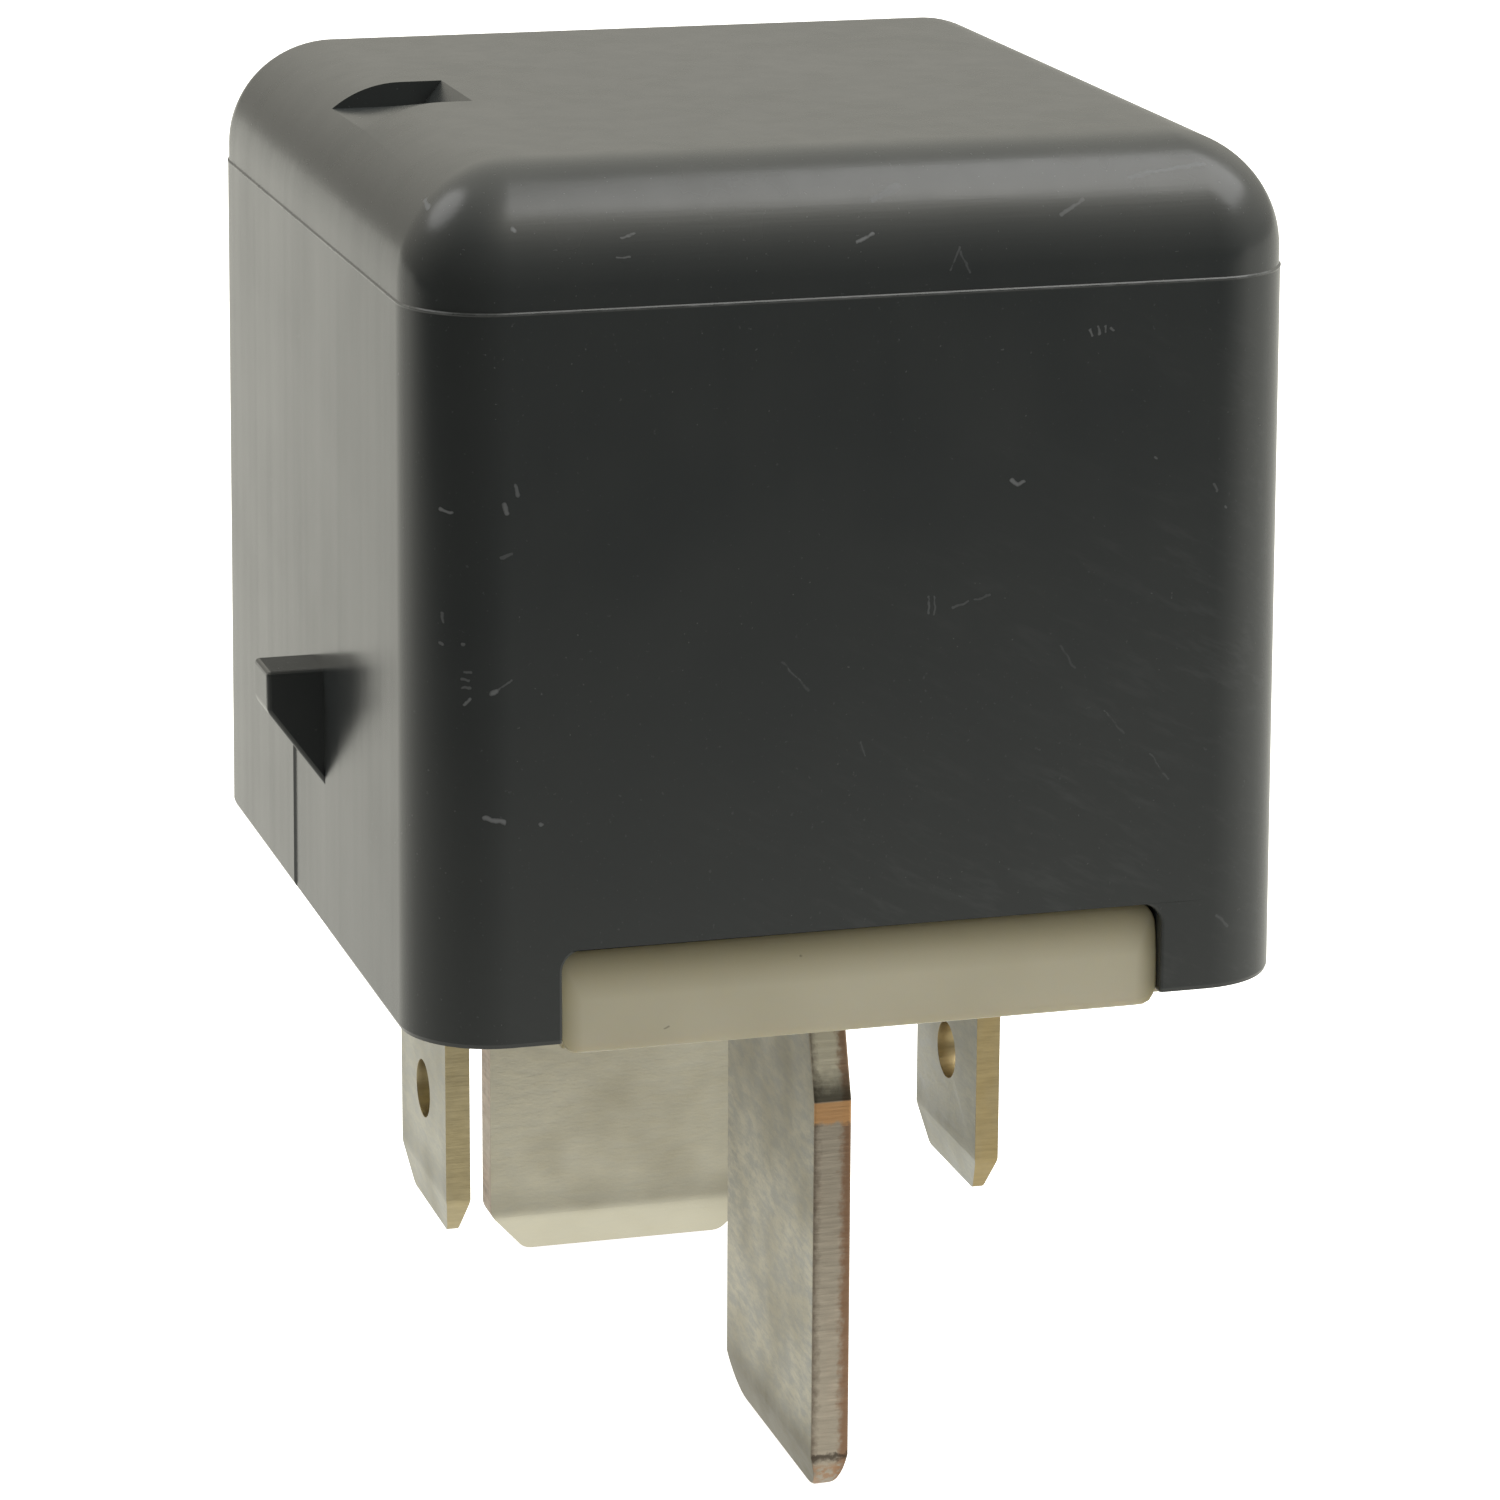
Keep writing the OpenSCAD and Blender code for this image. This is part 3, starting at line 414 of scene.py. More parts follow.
def marks(t, place, lines, wobble):
    """Handling marks: short strokes from a to b, each with its half width and strength."""
    group = bpy.data.node_groups.get("stroke") or stroke_group()
    shaken = add(t, "TexNoise", place, None, 3.0, 2.0).outputs["Color"]
    shaken = add(t, "VectorMath", shaken, (0.5, 0.5, 0.5), operation="SUBTRACT").outputs[0]
    scaled = add(t, "VectorMath", shaken, operation="SCALE")
    scaled.inputs["Scale"].default_value = wobble
    place = add(t, "VectorMath", place, scaled.outputs[0], operation="ADD").outputs[0]
    total = None
    for a, b, half, strength in lines:
        g = t.nodes.new("ShaderNodeGroup")
        g.node_tree = group
        ab = Vector(b) - Vector(a)
        t.links.new(place, g.inputs["place"])
        g.inputs["a"].default_value, g.inputs["ab"].default_value = a, ab
        g.inputs["inverse"].default_value = 1 / max(ab.dot(ab), 1e-6)
        g.inputs["half"].default_value, g.inputs["strength"].default_value = half, strength
        if total is not None:
            t.links.new(total, g.inputs["others"])
        total = g.outputs[0]
    return total


def on_front(x, z):
    """The point on the cover's front, front corners or front top edge at a given x and z."""
    inset, radius = 0.0, corner_r
    if z > top - edge_r:
        a = math.asin(1 - (top - z) / edge_r)
        inset, radius = seam_step + edge_r * (1 - math.cos(a)), corner_r * math.cos(a)
    half_x, half_y = outer(z, inset)
    off = max(abs(x) - (half_x - radius), 0)
    return (x, radius - half_y - math.sqrt(max(radius ** 2 - off ** 2, 0)), z)


# scuffs and chips from handling, in millimetres: x and z of both ends, half width, strength
scuffs = [
    # on the top edge
    (-10.41, 24.39, -10.38, 24.37, 0.09, 1.0), (-7.33, 24.05, -6.91, 24.13, 0.045, 0.6),
    (-7.52, 23.53, -7.14, 23.52, 0.04, 0.6), (-0.41, 23.63, 0.06, 23.82, 0.06, 1.0),
    (2.33, 22.72, 2.65, 23.36, 0.05, 0.3), (2.65, 23.22, 2.94, 22.63, 0.05, 0.25),
    (-12.38, 24.9, -12.42, 24.77, 0.1, 1.0), (5.82, 24.09, 6.26, 24.34, 0.08, 0.45),
    (6.26, 24.34, 6.53, 24.46, 0.05, 0.4), (8.1, 24.97, 8.76, 25.09, 0.09, 1.0),
    (8.76, 25.09, 9.56, 25.16, 0.075, 1.0), (9.56, 25.16, 10.49, 25.23, 0.09, 1.0),
    (0.21, 24.71, 0.64, 24.87, 0.12, 0.8), (0.64, 24.87, 1.04, 25.03, 0.144, 0.8),
    # down the left corner
    (-12.54, 16.43, -12.28, 16.37, 0.069, 1.0), (-10.53, 17.16, -10.46, 16.88, 0.081, 0.6),
    (-10.87, 16.62, -10.78, 16.35, 0.081, 0.8), (-10.96, 15.09, -10.65, 15.18, 0.057, 0.35),
    (-12.53, 13.43, -12.5, 13.14, 0.057, 0.5), (-12.58, 12.54, -12.53, 12.49, 0.069, 0.6),
    (-12.04, 12.55, -11.99, 12.53, 0.057, 0.6), (-12.02, 11.73, -11.8, 11.72, 0.052, 0.5),
    (-12.05, 11.49, -11.85, 11.48, 0.052, 0.5), (-12.03, 11.26, -11.82, 11.28, 0.052, 0.5),
    (-12, 10.77, -11.86, 10.95, 0.063, 0.9), (-11.25, 11.13, -11.13, 11.17, 0.092, 0.9),
    (-11.14, 11.16, -10.67, 11.48, 0.046, 0.45), (-11.48, 7.4, -10.96, 7.29, 0.086, 1.0),
    # on the face
    (6.62, 20.78, 6.71, 20.59, 0.05, 0.7), (6.86, 20.84, 6.91, 20.61, 0.05, 0.7),
    (7.06, 20.85, 7.11, 20.69, 0.05, 0.6), (7.26, 20.79, 7.35, 20.71, 0.05, 0.6),
    (4.3, 16.47, 4.45, 16.34, 0.07, 1.0), (4.45, 16.34, 4.66, 16.4, 0.06, 0.9),
    (1.8, 13.14, 1.79, 12.61, 0.045, 0.45), (1.97, 13.11, 1.99, 12.59, 0.045, 0.35),
    (2.5, 12.77, 2.99, 12.92, 0.05, 0.35), (3.2, 12.96, 3.69, 13.07, 0.05, 0.25),
    (-9.88, 7.16, -9.85, 7.13, 0.07, 0.8), (-2.65, 11.5, -1.85, 10.6, 0.05, 0.22),
    (7.3, 9.3, 7.9, 8.6, 0.05, 0.2), (5.86, 11.4, 6.34, 10.69, 0.05, 0.2),
    (8.74, 7.9, 9.3, 7.1, 0.05, 0.2), (-0.26, 8.91, -0.07, 8.48, 0.05, 0.2),
    (10.55, 15.97, 10.65, 15.76, 0.06, 0.35), (8.69, 16.89, 8.72, 16.86, 0.06, 0.5),
    (10.92, 15.28, 10.95, 15.26, 0.06, 0.5), (11, 2.73, 11.38, 2.35, 0.08, 0.3),
]
strokes = [(on_front(xa, za), on_front(xb, zb), half, strength) for xa, za, xb, zb, half, strength in scuffs]


def black_skin(name, strokes):
    """The cover's moulded skin, worn on its edges, with placed marks where there are any."""
    m, t, black, place = surface(name, (0.017, 0.018, 0.018), 0.22, IOR=1.5)
    xyz = add(t, "SeparateXYZ", place)
    cloud = grain(t, place, 0.25, 2.0)
    # faint rubbed streaks, slanting down to the right and mostly low on the front
    slanted = add(t, "Mapping", place, None, (0, math.radians(-27), 0)).outputs[0]
    rubbed = ramp(t, grain(t, slanted, 2.2, 3.0, 0.7, (0.22, 1, 1)), 0.50, 0.68)
    low = ramp(t, calc(t, "SUBTRACT", xyz.outputs[0], xyz.outputs[2]), -15.0, -1.0)
    worn = calc(t, "MULTIPLY", rubbed, calc(t, "MULTIPLY", ramp(t, cloud, 0.38, 0.58, 0.02, 0.075), low))
    worn = calc(t, "MAXIMUM", worn, ramp(t, grain(t, place, 8.0, 1.0), 0.72, 0.80, 0.0, 0.13))
    # the parting line is painted lighter where flash was left: a painted highlight for the light it catches
    near_seam = calc(t, "ABSOLUTE", calc(t, "SUBTRACT", xyz.outputs[2], seam_z + 0.01))
    left_there = ramp(t, grain(t, place, 1.6, 2.0), 0.38, 0.72, 0.03, 0.45)
    flash_and_highlight = calc(t, "MULTIPLY", ramp(t, near_seam, 0.05, 0.02), left_there)
    worn = calc(t, "MAXIMUM", worn, flash_and_highlight)
    if strokes:
        worn = calc(t, "MAXIMUM", calc(t, "MULTIPLY", marks(t, place, strokes, 0.18), 0.8), worn)
    colour = blend(t, cloud, (0.0315, 0.0360, 0.0390), (0.0385, 0.0430, 0.0445))
    # the wear colour also carries the parting line's painted highlight
    t.links.new(blend(t, worn, colour, (0.18, 0.19, 0.205)), black.inputs["Base Color"])
    # the sides were drawn out of the mould and keep a few broad upright lines
    drawn = grain(t, place, 1.1, 2.0, 0.5, (1, 1, 0.010))
    haze = calc(t, "ADD", ramp(t, drawn, 0.35, 0.65, -0.015, 0.015), ramp(t, cloud, 0.3, 0.7, 0.19, 0.235))
    wave = bump(t, black, grain(t, place, 0.16, 1.0), 0.03)
    lines = bump(t, black, drawn, 0.0011, wave)
    # the top's edges are duller and carry fine lengthwise polishing lines
    haze = calc(t, "ADD", haze, ramp(t, xyz.outputs[2], 22.0, 24.5, 0.0, 0.045))
    t.links.new(calc(t, "ADD", haze, calc(t, "MULTIPLY", worn, 0.4)), black.inputs["Roughness"])
    polish = grain(t, place, 9.0, 2.0, 0.6, (0.05, 0.6, 1))
    polish = calc(t, "MULTIPLY", polish, ramp(t, xyz.outputs[2], 21.5, 23.5, 0.25, 1.0))
    bump(t, black, polish, 0.0021, lines)
    return m


cover.data.materials.append(black_skin("cover_black", None))
cover.data.materials.append(black_skin("cover_black_front", strokes))
# the placed marks lie on the front and on the top's left edge
for p in cover.data.polygons:
    if p.center.y < -11.5 * MM or (p.center.x < -11.0 * MM and p.center.z > 23 * MM):
        p.material_index = 1

# ---- Base ------------------------------------------------------------------------------------
# The moulded floor of the relay, in uncoloured cream nylon. Its lip fills the notch in the cover,
# its snap ramps sit in the cover's pockets, and it is cored out below to keep its walls even.

base_w, base_d, base_h, base_corner = 24.4, 27.4, 3.4, 1.45
yoke_y, coil_back, coil_x = -11.0, 3.9, 8.9
front_y, rear_y, coil_blade_y = -7.05, 11.6, 3.05
rings = []
for z, i in ((0, 0.15), (0.05, 0.04), (0.15, 0), (base_h - 0.1, 0), (base_h, 0.1)):
    rings.append(plan_ring(base_w / 2 - i, base_d / 2 - i, base_corner - i, z))
base = loft(rings, "base_moulding")
for sx in (-1, 1):
    # two pads under the bobbin, and the ramp that snaps into the cover
    for y in (yoke_y + 3.2, coil_back - 3):
        pad = mirrored([(3.7, 3.0), (6.1, 3.0), (6.1, 3.8), (3.7, 3.8)], sx)
        join_solids(base, prism(pad, 2, "pad", at_y(y)), "UNION")
    x = base_w / 2
    snap = mirrored([(x - 1, 1.15), (x + 0.4, 1.4), (x + 0.4, 1.7), (x, 2.65), (x - 1, 2.65)], sx)
    join_solids(base, prism(snap, snap_w, "snap_ramp", at_y(snap_y)), "UNION")


def block(w, d, x, y, low, high, radius, name):
    ring = [plan_ring(w / 2, d / 2, radius, z, 6) for z in (low, high)]
    return loft([[(px + x * MM, py + y * MM, pz) for px, py, pz in r] for r in ring], name)


# coring pockets, and the slots that the blades stand in
for w, d, x, y in ((13, 8.8, 0, rear_y - 7), (6.4, 8, -5.4, front_y), (6.4, 8, 5.4, front_y)):
    join_solids(base, block(w, d, x, y, -1, 0.8, 0.8, "pocket"), "DIFFERENCE")
for w, d, x, y in ((1.28, 9.58, 0, front_y), (9.58, 1.28, -0.27, rear_y + 0.6),
                   (0.88, 6.38, -coil_x, coil_blade_y), (0.88, 6.38, coil_x, coil_blade_y)):
    join_solids(base, block(w, d, x, y, -1, 9, 0.02, "slot"), "DIFFERENCE")

# the lip: its ends and top are rounded, and a fine step crosses its face at half height
lip_back, rings = -12.6, []
for z, half, face in ((0, 8.6, -14.60), (0.04, 8.85, -14.67), (0.14, 9.02, -14.70), (0.32, 9.14, -14.69),
                      (0.6, 9.22, -14.69), (1.2, 9.22, -14.68), (1.65, 9.22, -14.66), (1.8, 9.22, -14.62),
                      (2.2, 9.22, -14.57), (2.6, 9.20, -14.50), (2.8, 9.13, -14.46), (2.96, 9.03, -14.41),
                      (3.08, 8.89, -14.35), (3.17, 8.70, -14.26), (3.21, 8.53, -14.15)):
    ring = plan_ring(half, (lip_back - face) / 2, 0.07, z, 8)
    rings.append([(px, py + (face + lip_back) / 2 * MM, pz) for px, py, pz in ring])
join_solids(base, loft(rings, "lip"), "UNION")
# the shoulder behind the lip closes the notch
shoulder = prism(arch(notch_half - 0.1, 3.0, notch_r, 0.1, 6), 1.5, "shoulder", at_y(-13.65))
soften(shoulder, 0.05, 2, 60)
join_solids(base, shoulder, "UNION")
smooth(base, 30)
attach(base, "relay")
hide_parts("base")

m, t, cream, place = surface("base_cream", (0.54, 0.51, 0.40), 0.40, IOR=1.5,
                             Subsurface_Weight=0.35, Subsurface_Scale=0.0009)
cream.inputs["Subsurface Radius"].default_value = (1.0, 0.75, 0.4)
cloud = grain(t, place, 0.22, 2.0)
colour = blend(t, ramp(t, cloud, 0.35, 0.65), (0.515, 0.485, 0.375), (0.555, 0.525, 0.415))
xyz = add(t, "SeparateXYZ", place)
# painted shade darkens the lip's top and ends where the cover's edge shades them, tinted with the nylon's
# yellow where it is thin
ends = ramp(t, calc(t, "ABSOLUTE", xyz.outputs[0]), 8.55, 9.2)
edge = calc(t, "MAXIMUM", ramp(t, xyz.outputs[2], 1.6, 3.1), ends)
edge = calc(t, "MULTIPLY", edge, ramp(t, xyz.outputs[1], -13.0, -14.0))
# painted shade: the lip's top and ends are blended towards a dark yellow
colour = blend(t, calc(t, "MULTIPLY", edge, 0.80), colour, (0.31, 0.27, 0.15))
specks = [((-1.9, -14.5, 2.42), (-1.87, -14.5, 2.40), 0.06, 1.0),
          ((-6.1, -14.7, 0.55), (-5.95, -14.7, 0.62), 0.04, 0.5)]
speck = marks(t, place, specks, 0.1)
t.links.new(blend(t, speck, colour, (0.06, 0.055, 0.045)), cream.inputs["Base Color"])
t.links.new(ramp(t, grain(t, place, 1.5, 3.0), 0.3, 0.7, 0.36, 0.50), cream.inputs["Roughness"])
bump(t, cream, grain(t, place, 12.0, 2.0), 0.002)
base.data.materials.append(m)

# ---- Blades ----------------------------------------------------------------------------------
# Two wide contact blades are blanked from tin-plated copper and two narrow coil blades from
# tin-plated brass. The plating stops at the sheared edges, and the tips are coined thinner.


def dress(ob, material, width=0.1, segments=3, angle=30):
    """Rounds a piece's edges with modifiers only and gives it its material."""
    ob = nodes[ob] if isinstance(ob, str) else ob
    if "custom_normal" in ob.data.attributes:
        ob.data.attributes.remove(ob.data.attributes["custom_normal"])
    for p in ob.data.polygons:
        p.use_smooth = True
    weld = ob.modifiers.new("weld", "WELD")
    weld.merge_threshold = 0.001 * MM
    flat = ob.modifiers.new("flat", "DECIMATE")
    flat.decimate_type, flat.angle_limit = "DISSOLVE", math.radians(0.5)
    if width:
        edge = ob.modifiers.new("edge", "BEVEL")
        edge.width, edge.segments = width * MM, segments
        edge.limit_method, edge.angle_limit = "ANGLE", math.radians(angle)
        edge.use_clamp_overlap = True
    normals = ob.modifiers.new("normals", "WEIGHTED_NORMAL")
    normals.keep_sharp = False
    ob.data.materials.clear()
    ob.data.materials.append(material)
    return ob


def shade(colour, *factors):
    """A colour times one factor, or times one for each of red, green and blue."""
    return tuple(c * f for c, f in zip(colour, factors if len(factors) == 3 else factors * 3))


def plated(name, plate, bare, axis, coined_at, coined=0.0, mottled=1.0, sheared=1.0):
    """Dull tin over copper or brass; axis is the blade's thin direction, 0 for X or 1 for Y.

    Returns the material with what a blade's own section adds to: tree, shader, place, colour, flat."""
    m, t, metal, place = surface(name, plate, 0.4, 1.0)
    normal = add(t, "SeparateXYZ", add(t, "NewGeometry").outputs["Normal"]).outputs[axis]
    flat = ramp(t, calc(t, "ABSOLUTE", normal), 0.72, 0.94)
    z = add(t, "SeparateXYZ", place).outputs[2]
    # the tin has dried in a fine mottle drawn out along the strip, with cloudy stains from handling
    strip = add(t, "Mapping", place, None, None, (0.6, 0.3, 1) if axis == 0 else (0.3, 0.6, 1)).outputs[0]
    mottle = add(t, "TexNoise", strip, None, 3.6, 4.0, 0.70, None, 0.7).outputs[0]
    stain = grain(t, place, 0.32, 2.0, 0.55)
    low = shade(plate, 1 - 0.24 * mottled, 1 - 0.22 * mottled, 1 - 0.18 * mottled)
    high = shade(plate, 1 + 0.14 * mottled, 1 + 0.13 * mottled, 1 + 0.10 * mottled)
    tin = blend(t, ramp(t, mottle, 0.38, 0.62), low, high)
    tin = blend(t, ramp(t, stain, 0.42, 0.70, 0.0, 0.4), tin, shade(plate, 0.74, 0.71, 0.64))
    # painted shade darkens it towards the base, and it is darker just above the coined tip, which can be
    # brighter
    base_shade = ramp(t, z, -9.0, -0.5, 0.0, 0.34, True)
    # painted shade towards the base, where the base blocks the light
    tin = blend(t, base_shade, tin, shade(plate, 0.35))
    above = ramp(t, z, coined_at + 1.4, coined_at + 0.3, 0, 1, True)
    rub = calc(t, "MULTIPLY", above, ramp(t, z, coined_at - 0.1, coined_at + 0.3, 0, 1, True))
    tin = blend(t, calc(t, "MULTIPLY", rub, 0.3), tin, shade(plate, 0.4))
    tin = blend(t, ramp(t, z, coined_at + 0.25, coined_at - 0.25, 0.0, coined, True), tin, (0.74, 0.71, 0.60))
    # the shear leaves crossways stripes in the bare metal, smeared with tin
    stripe = grain(t, place, 4.0, 3.0, 0.6, (0.15, 0.15, 1.6))
    smear = grain(t, place, 0.9, 3.0, 0.65, (1, 1, 0.35))
    torn, clean = shade(bare, 1 - 0.34 * sheared), shade(bare, 1 + 0.06 * sheared)
    raw = blend(t, ramp(t, stripe, 0.38, 0.62), torn, clean)
    thin_tin = tuple((a + b) / 2 * 0.86 for a, b in zip(bare, plate))
    raw = blend(t, ramp(t, smear, 0.42, 0.60, 0.0, 0.7 * sheared), raw, thin_tin)
    colour = blend(t, flat, raw, tin)
    # a dark line of dirt follows the edge where the plating ends
    rim_line = ramp(t, calc(t, "ABSOLUTE", calc(t, "SUBTRACT", flat, 0.4)), 0.4, 0.1, 0.0, 0.5)
    dirt = calc(t, "MULTIPLY", rim_line, ramp(t, smear, 0.35, 0.55, 0.35, 1.0))
    colour = blend(t, dirt, colour, shade(bare, 0.3))
    t.links.new(colour, metal.inputs["Base Color"])
    rough = calc(t, "ADD", ramp(t, mottle, 0.3, 0.7, 0.32, 0.46), ramp(t, stain, 0.4, 0.7, 0.0, 0.10))
    t.links.new(rough, metal.inputs["Roughness"])
    fine = bump(t, metal, blend(t, flat, stripe, mottle), 0.010)
    bump(t, metal, grain(t, place, 0.8, 1.0), 0.012, fine)
    return m, t, metal, place, colour, flat


# blade 30 is flat from its tenon to its tip; its neck is set back and its tip's corners are round
blade_half, tip_z, tip_r, coined_z = 4.75, -16.04, 1.3, -14.75
front_end, tenon_z = front_y - blade_half, 3.8
profile = [(front_end + 0.3, base_h), (front_end + 0.9, base_h), (front_end + 0.9, -0.4), (front_end, -3.2)]
for sy, start in ((-1, 180), (1, 270)):
    for i in range(9):
        a = math.radians(start + 90 * i / 8)
        y = front_y + sy * (blade_half - tip_r) + tip_r * math.cos(a)
        profile.append((y, tip_z + tip_r + tip_r * math.sin(a)))
profile += [(-2.3, base_h), (-1.8, base_h), (-1.8, tenon_z), (-5.99, tenon_z), (-5.99, 5.55), (-8.79, 5.55),
            (-8.79, tenon_z), (front_end + 0.3, tenon_z)]
blade_30 = prism(profile, 1.2, "blade_30", Matrix.Rotation(math.radians(90), 4, "Z"))
for sx in (-1, 1):
    slice_off(blade_30, (sx * 0.6, 0, coined_z), (sx * 1.29, 0, -0.3))
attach(blade_30, "relay")
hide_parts("terminal_30")

m, t, metal, place, colour, flat = plated("blade_30_tin", (0.46, 0.44, 0.38), (0.56, 0.48, 0.40),
                                          0, coined_z, 0.0, 1.3)
# its front edge has soot over the neck's foot, bare copper under it and a brown margin on the right
xyz = add(t, "SeparateXYZ", place)
x, z = xyz.outputs[0], xyz.outputs[2]
ragged = grain(t, place, 3.4, 4.0, 0.65)
loose = ramp(t, ragged, 0.3, 0.7, -0.11, 0.11)
x, loose_z = calc(t, "ADD", x, loose), calc(t, "ADD", z, loose)
edge = blend(t, ramp(t, z, -3.25, -3.0, 0.0, 0.9), colour, (0.70, 0.66, 0.54))
edge = blend(t, ramp(t, x, 0.14, 0.44, 0.0, 0.85, True), edge, (0.28, 0.155, 0.09))
edge = blend(t, ramp(t, x, -0.34, -0.60, 0.0, 0.7), edge, (0.13, 0.10, 0.08))
soot = calc(t, "MULTIPLY", ramp(t, loose_z, -3.0, -2.2, 0.85, 0.0), ramp(t, z, -3.25, -3.19))
edge = blend(t, soot, edge, (0.05, 0.046, 0.035))
copper = calc(t, "MULTIPLY", ramp(t, z, -3.20, -3.26, 0.0, 0.92), ramp(t, loose_z, -4.02, -3.86))
edge = blend(t, copper, edge, (0.66, 0.375, 0.18))
# a dark line crosses it where the coined tip begins, over a brown stain
line = calc(t, "MULTIPLY", ramp(t, loose_z, -14.62, -14.70, 0.0, 0.8), ramp(t, loose_z, -14.95, -14.80))
edge = blend(t, line, edge, (0.06, 0.045, 0.035))
brown = calc(t, "MULTIPLY", ramp(t, loose_z, -14.9, -15.1, 0.0, 0.6), ramp(t, ragged, 0.42, 0.55))
edge = blend(t, brown, edge, (0.42, 0.21, 0.10))
# the tip darkens down its slope
colour = blend(t, ramp(t, loose_z, -13.9, -15.0, 0.0, 0.78, True), colour, (0.17, 0.155, 0.125))
t.links.new(blend(t, flat, edge, colour), metal.inputs["Base Color"])
dress(blade_30, m, 0.14)

m = plated("blade_87_tin", (0.53, 0.505, 0.425), (0.36, 0.27, 0.21), 1, -14.8, 0.6, 0.4)[0]
dress("terminal_87", m, 0.18)
m = plated("blade_85_tin", (0.48, 0.47, 0.42), (0.52, 0.44, 0.27), 0, -9.7, 0.0, 0.8, 0.25)[0]
dress("terminal_85", m, 0.16)
# blade 86 has its own copy of the coil blades' plating, with its sheared edges painted darker as shade
m = plated("blade_86_tin", (0.50, 0.50, 0.47), (0.45, 0.355, 0.19), 0, -9.95, 0.0, 0.8, 0.25)[0]
dress("terminal_86", m, 0.16)

# ---- Yoke, core and backstop -----------------------------------------------------------------
# The magnet's iron and the stop over the armature are pressed from soft steel strip and plated
# with bright zinc. The yoke is riveted over blade 30 and the core is staked through its floor.


def zinc(name, along):
    """Zinc-plated rolled steel; along is the direction of rolling, as a stretch of the grain."""
    m, t, metal, place = surface(name, (0.60, 0.61, 0.60), 0.34, 1.0)
    rolled = grain(t, place, 9.0, 3.0, 0.6, along)
    spangle = grain(t, place, 1.3, 3.0, 0.6)
    bright = blend(t, ramp(t, spangle, 0.35, 0.65), (0.50, 0.51, 0.51), (0.66, 0.67, 0.65))
    stain = ramp(t, grain(t, place, 0.4, 3.0, 0.6), 0.56, 0.72, 0.0, 0.45)
    t.links.new(blend(t, stain, bright, (0.44, 0.42, 0.36)), metal.inputs["Base Color"])
    rough = calc(t, "ADD", ramp(t, rolled, 0.3, 0.7, 0.24, 0.36), calc(t, "MULTIPLY", stain, 0.3))
    t.links.new(rough, metal.inputs["Roughness"])
    soft = bump(t, metal, spangle, 0.006)
    bump(t, metal, rolled, 0.003, soft)
    return m


zinc_up = zinc("zinc_plate_upright", (1, 1, 0.05))
dress("yoke", zinc_up, 0.12)
dress("core", zinc_up, 0.08)
dress("backstop", zinc_up, 0.08)

# ---- Coil ------------------------------------------------------------------------------------
# A nylon bobbin on the core carries several hundred turns of enamelled wire under one wrap of
# amber tape. The wire's ends are soldered to the tabs of the two coil blades.

m, t, nylon, place = surface("bobbin_nylon", (0.78, 0.74, 0.63), 0.4, IOR=1.53,
                             Subsurface_Weight=0.3, Subsurface_Scale=0.001)
cloudy = grain(t, place, 0.7, 3.0)
colour = blend(t, ramp(t, cloudy, 0.35, 0.65), (0.72, 0.68, 0.56), (0.82, 0.79, 0.69))
t.links.new(colour, nylon.inputs["Base Color"])
t.links.new(ramp(t, cloudy, 0.3, 0.7, 0.34, 0.48), nylon.inputs["Roughness"])
bump(t, nylon, grain(t, place, 11.0, 2.0), 0.002)
dress("bobbin", m, 0.08)


turn_pitch = 0.17


def enamel(name, pitch, along):
    """Copper wire under red-brown enamel, its turns laid one beside another along Z or X."""
    m, t, wire, place = surface(name, (0.42, 0.14, 0.05), 0.22, 0.75, IOR=1.5)
    line = add(t, "SeparateXYZ", place).outputs[along]
    line = calc(t, "ADD", line, ramp(t, grain(t, place, 0.5, 2.0), 0.0, 1.0, -0.05, 0.05))
    turn = calc(t, "FLOOR", calc(t, "DIVIDE", line, pitch))
    round_wire = calc(t, "ABSOLUTE", calc(t, "SINE", calc(t, "MULTIPLY", line, math.pi / pitch)))
    each = add(t, "TexWhiteNoise", None, turn, noise_dimensions="1D").outputs["Value"]
    copper = blend(t, each, (0.34, 0.10, 0.035), (0.52, 0.19, 0.075))
    # painted shade darkens the grooves between the turns
    copper = blend(t, ramp(t, round_wire, 0.45, 0.0), copper, (0.06, 0.018, 0.008))
    t.links.new(copper, wire.inputs["Base Color"])
    t.links.new(ramp(t, grain(t, place, 2.0, 3.0), 0.3, 0.7, 0.18, 0.30), wire.inputs["Roughness"])
    bump(t, wire, round_wire, 0.05)
    return m


dress("coil_winding", enamel("enamelled_turns", turn_pitch, 2), 0)
dress("coil_leads", enamel("enamelled_ends", 3.0, 0), 0)

m, t, film, place = surface("amber_tape", (0.62, 0.36, 0.06), 0.18, IOR=1.56, Coat_Weight=0.4)
z = add(t, "SeparateXYZ", place).outputs[2]
under = calc(t, "ABSOLUTE", calc(t, "SINE", calc(t, "MULTIPLY", z, math.pi / turn_pitch)))
stretch_mark = grain(t, place, 1.0, 3.0, 0.6, (1, 1, 0.25))
amber = blend(t, ramp(t, stretch_mark, 0.35, 0.65), (0.50, 0.26, 0.035), (0.68, 0.41, 0.08))
amber = blend(t, calc(t, "MULTIPLY", under, 0.25), amber, (0.40, 0.17, 0.03))
t.links.new(amber, film.inputs["Base Color"])
t.links.new(ramp(t, stretch_mark, 0.3, 0.7, 0.14, 0.26), film.inputs["Roughness"])
wrapped = bump(t, film, under, 0.008)
bump(t, film, stretch_mark, 0.02, wrapped)
dress("coil_tape", m, 0.03, 2)

# ---- Armature and contacts -------------------------------------------------------------------
# The armature rocks on the yoke's top edge and is pulled open by the coiled spring at its tail.
# A bronze leaf riveted to it carries the silver contact, and a copper braid feeds the leaf.

dress("armature", zinc("zinc_plate_lengthwise", (1, 0.05, 1)), 0.12)


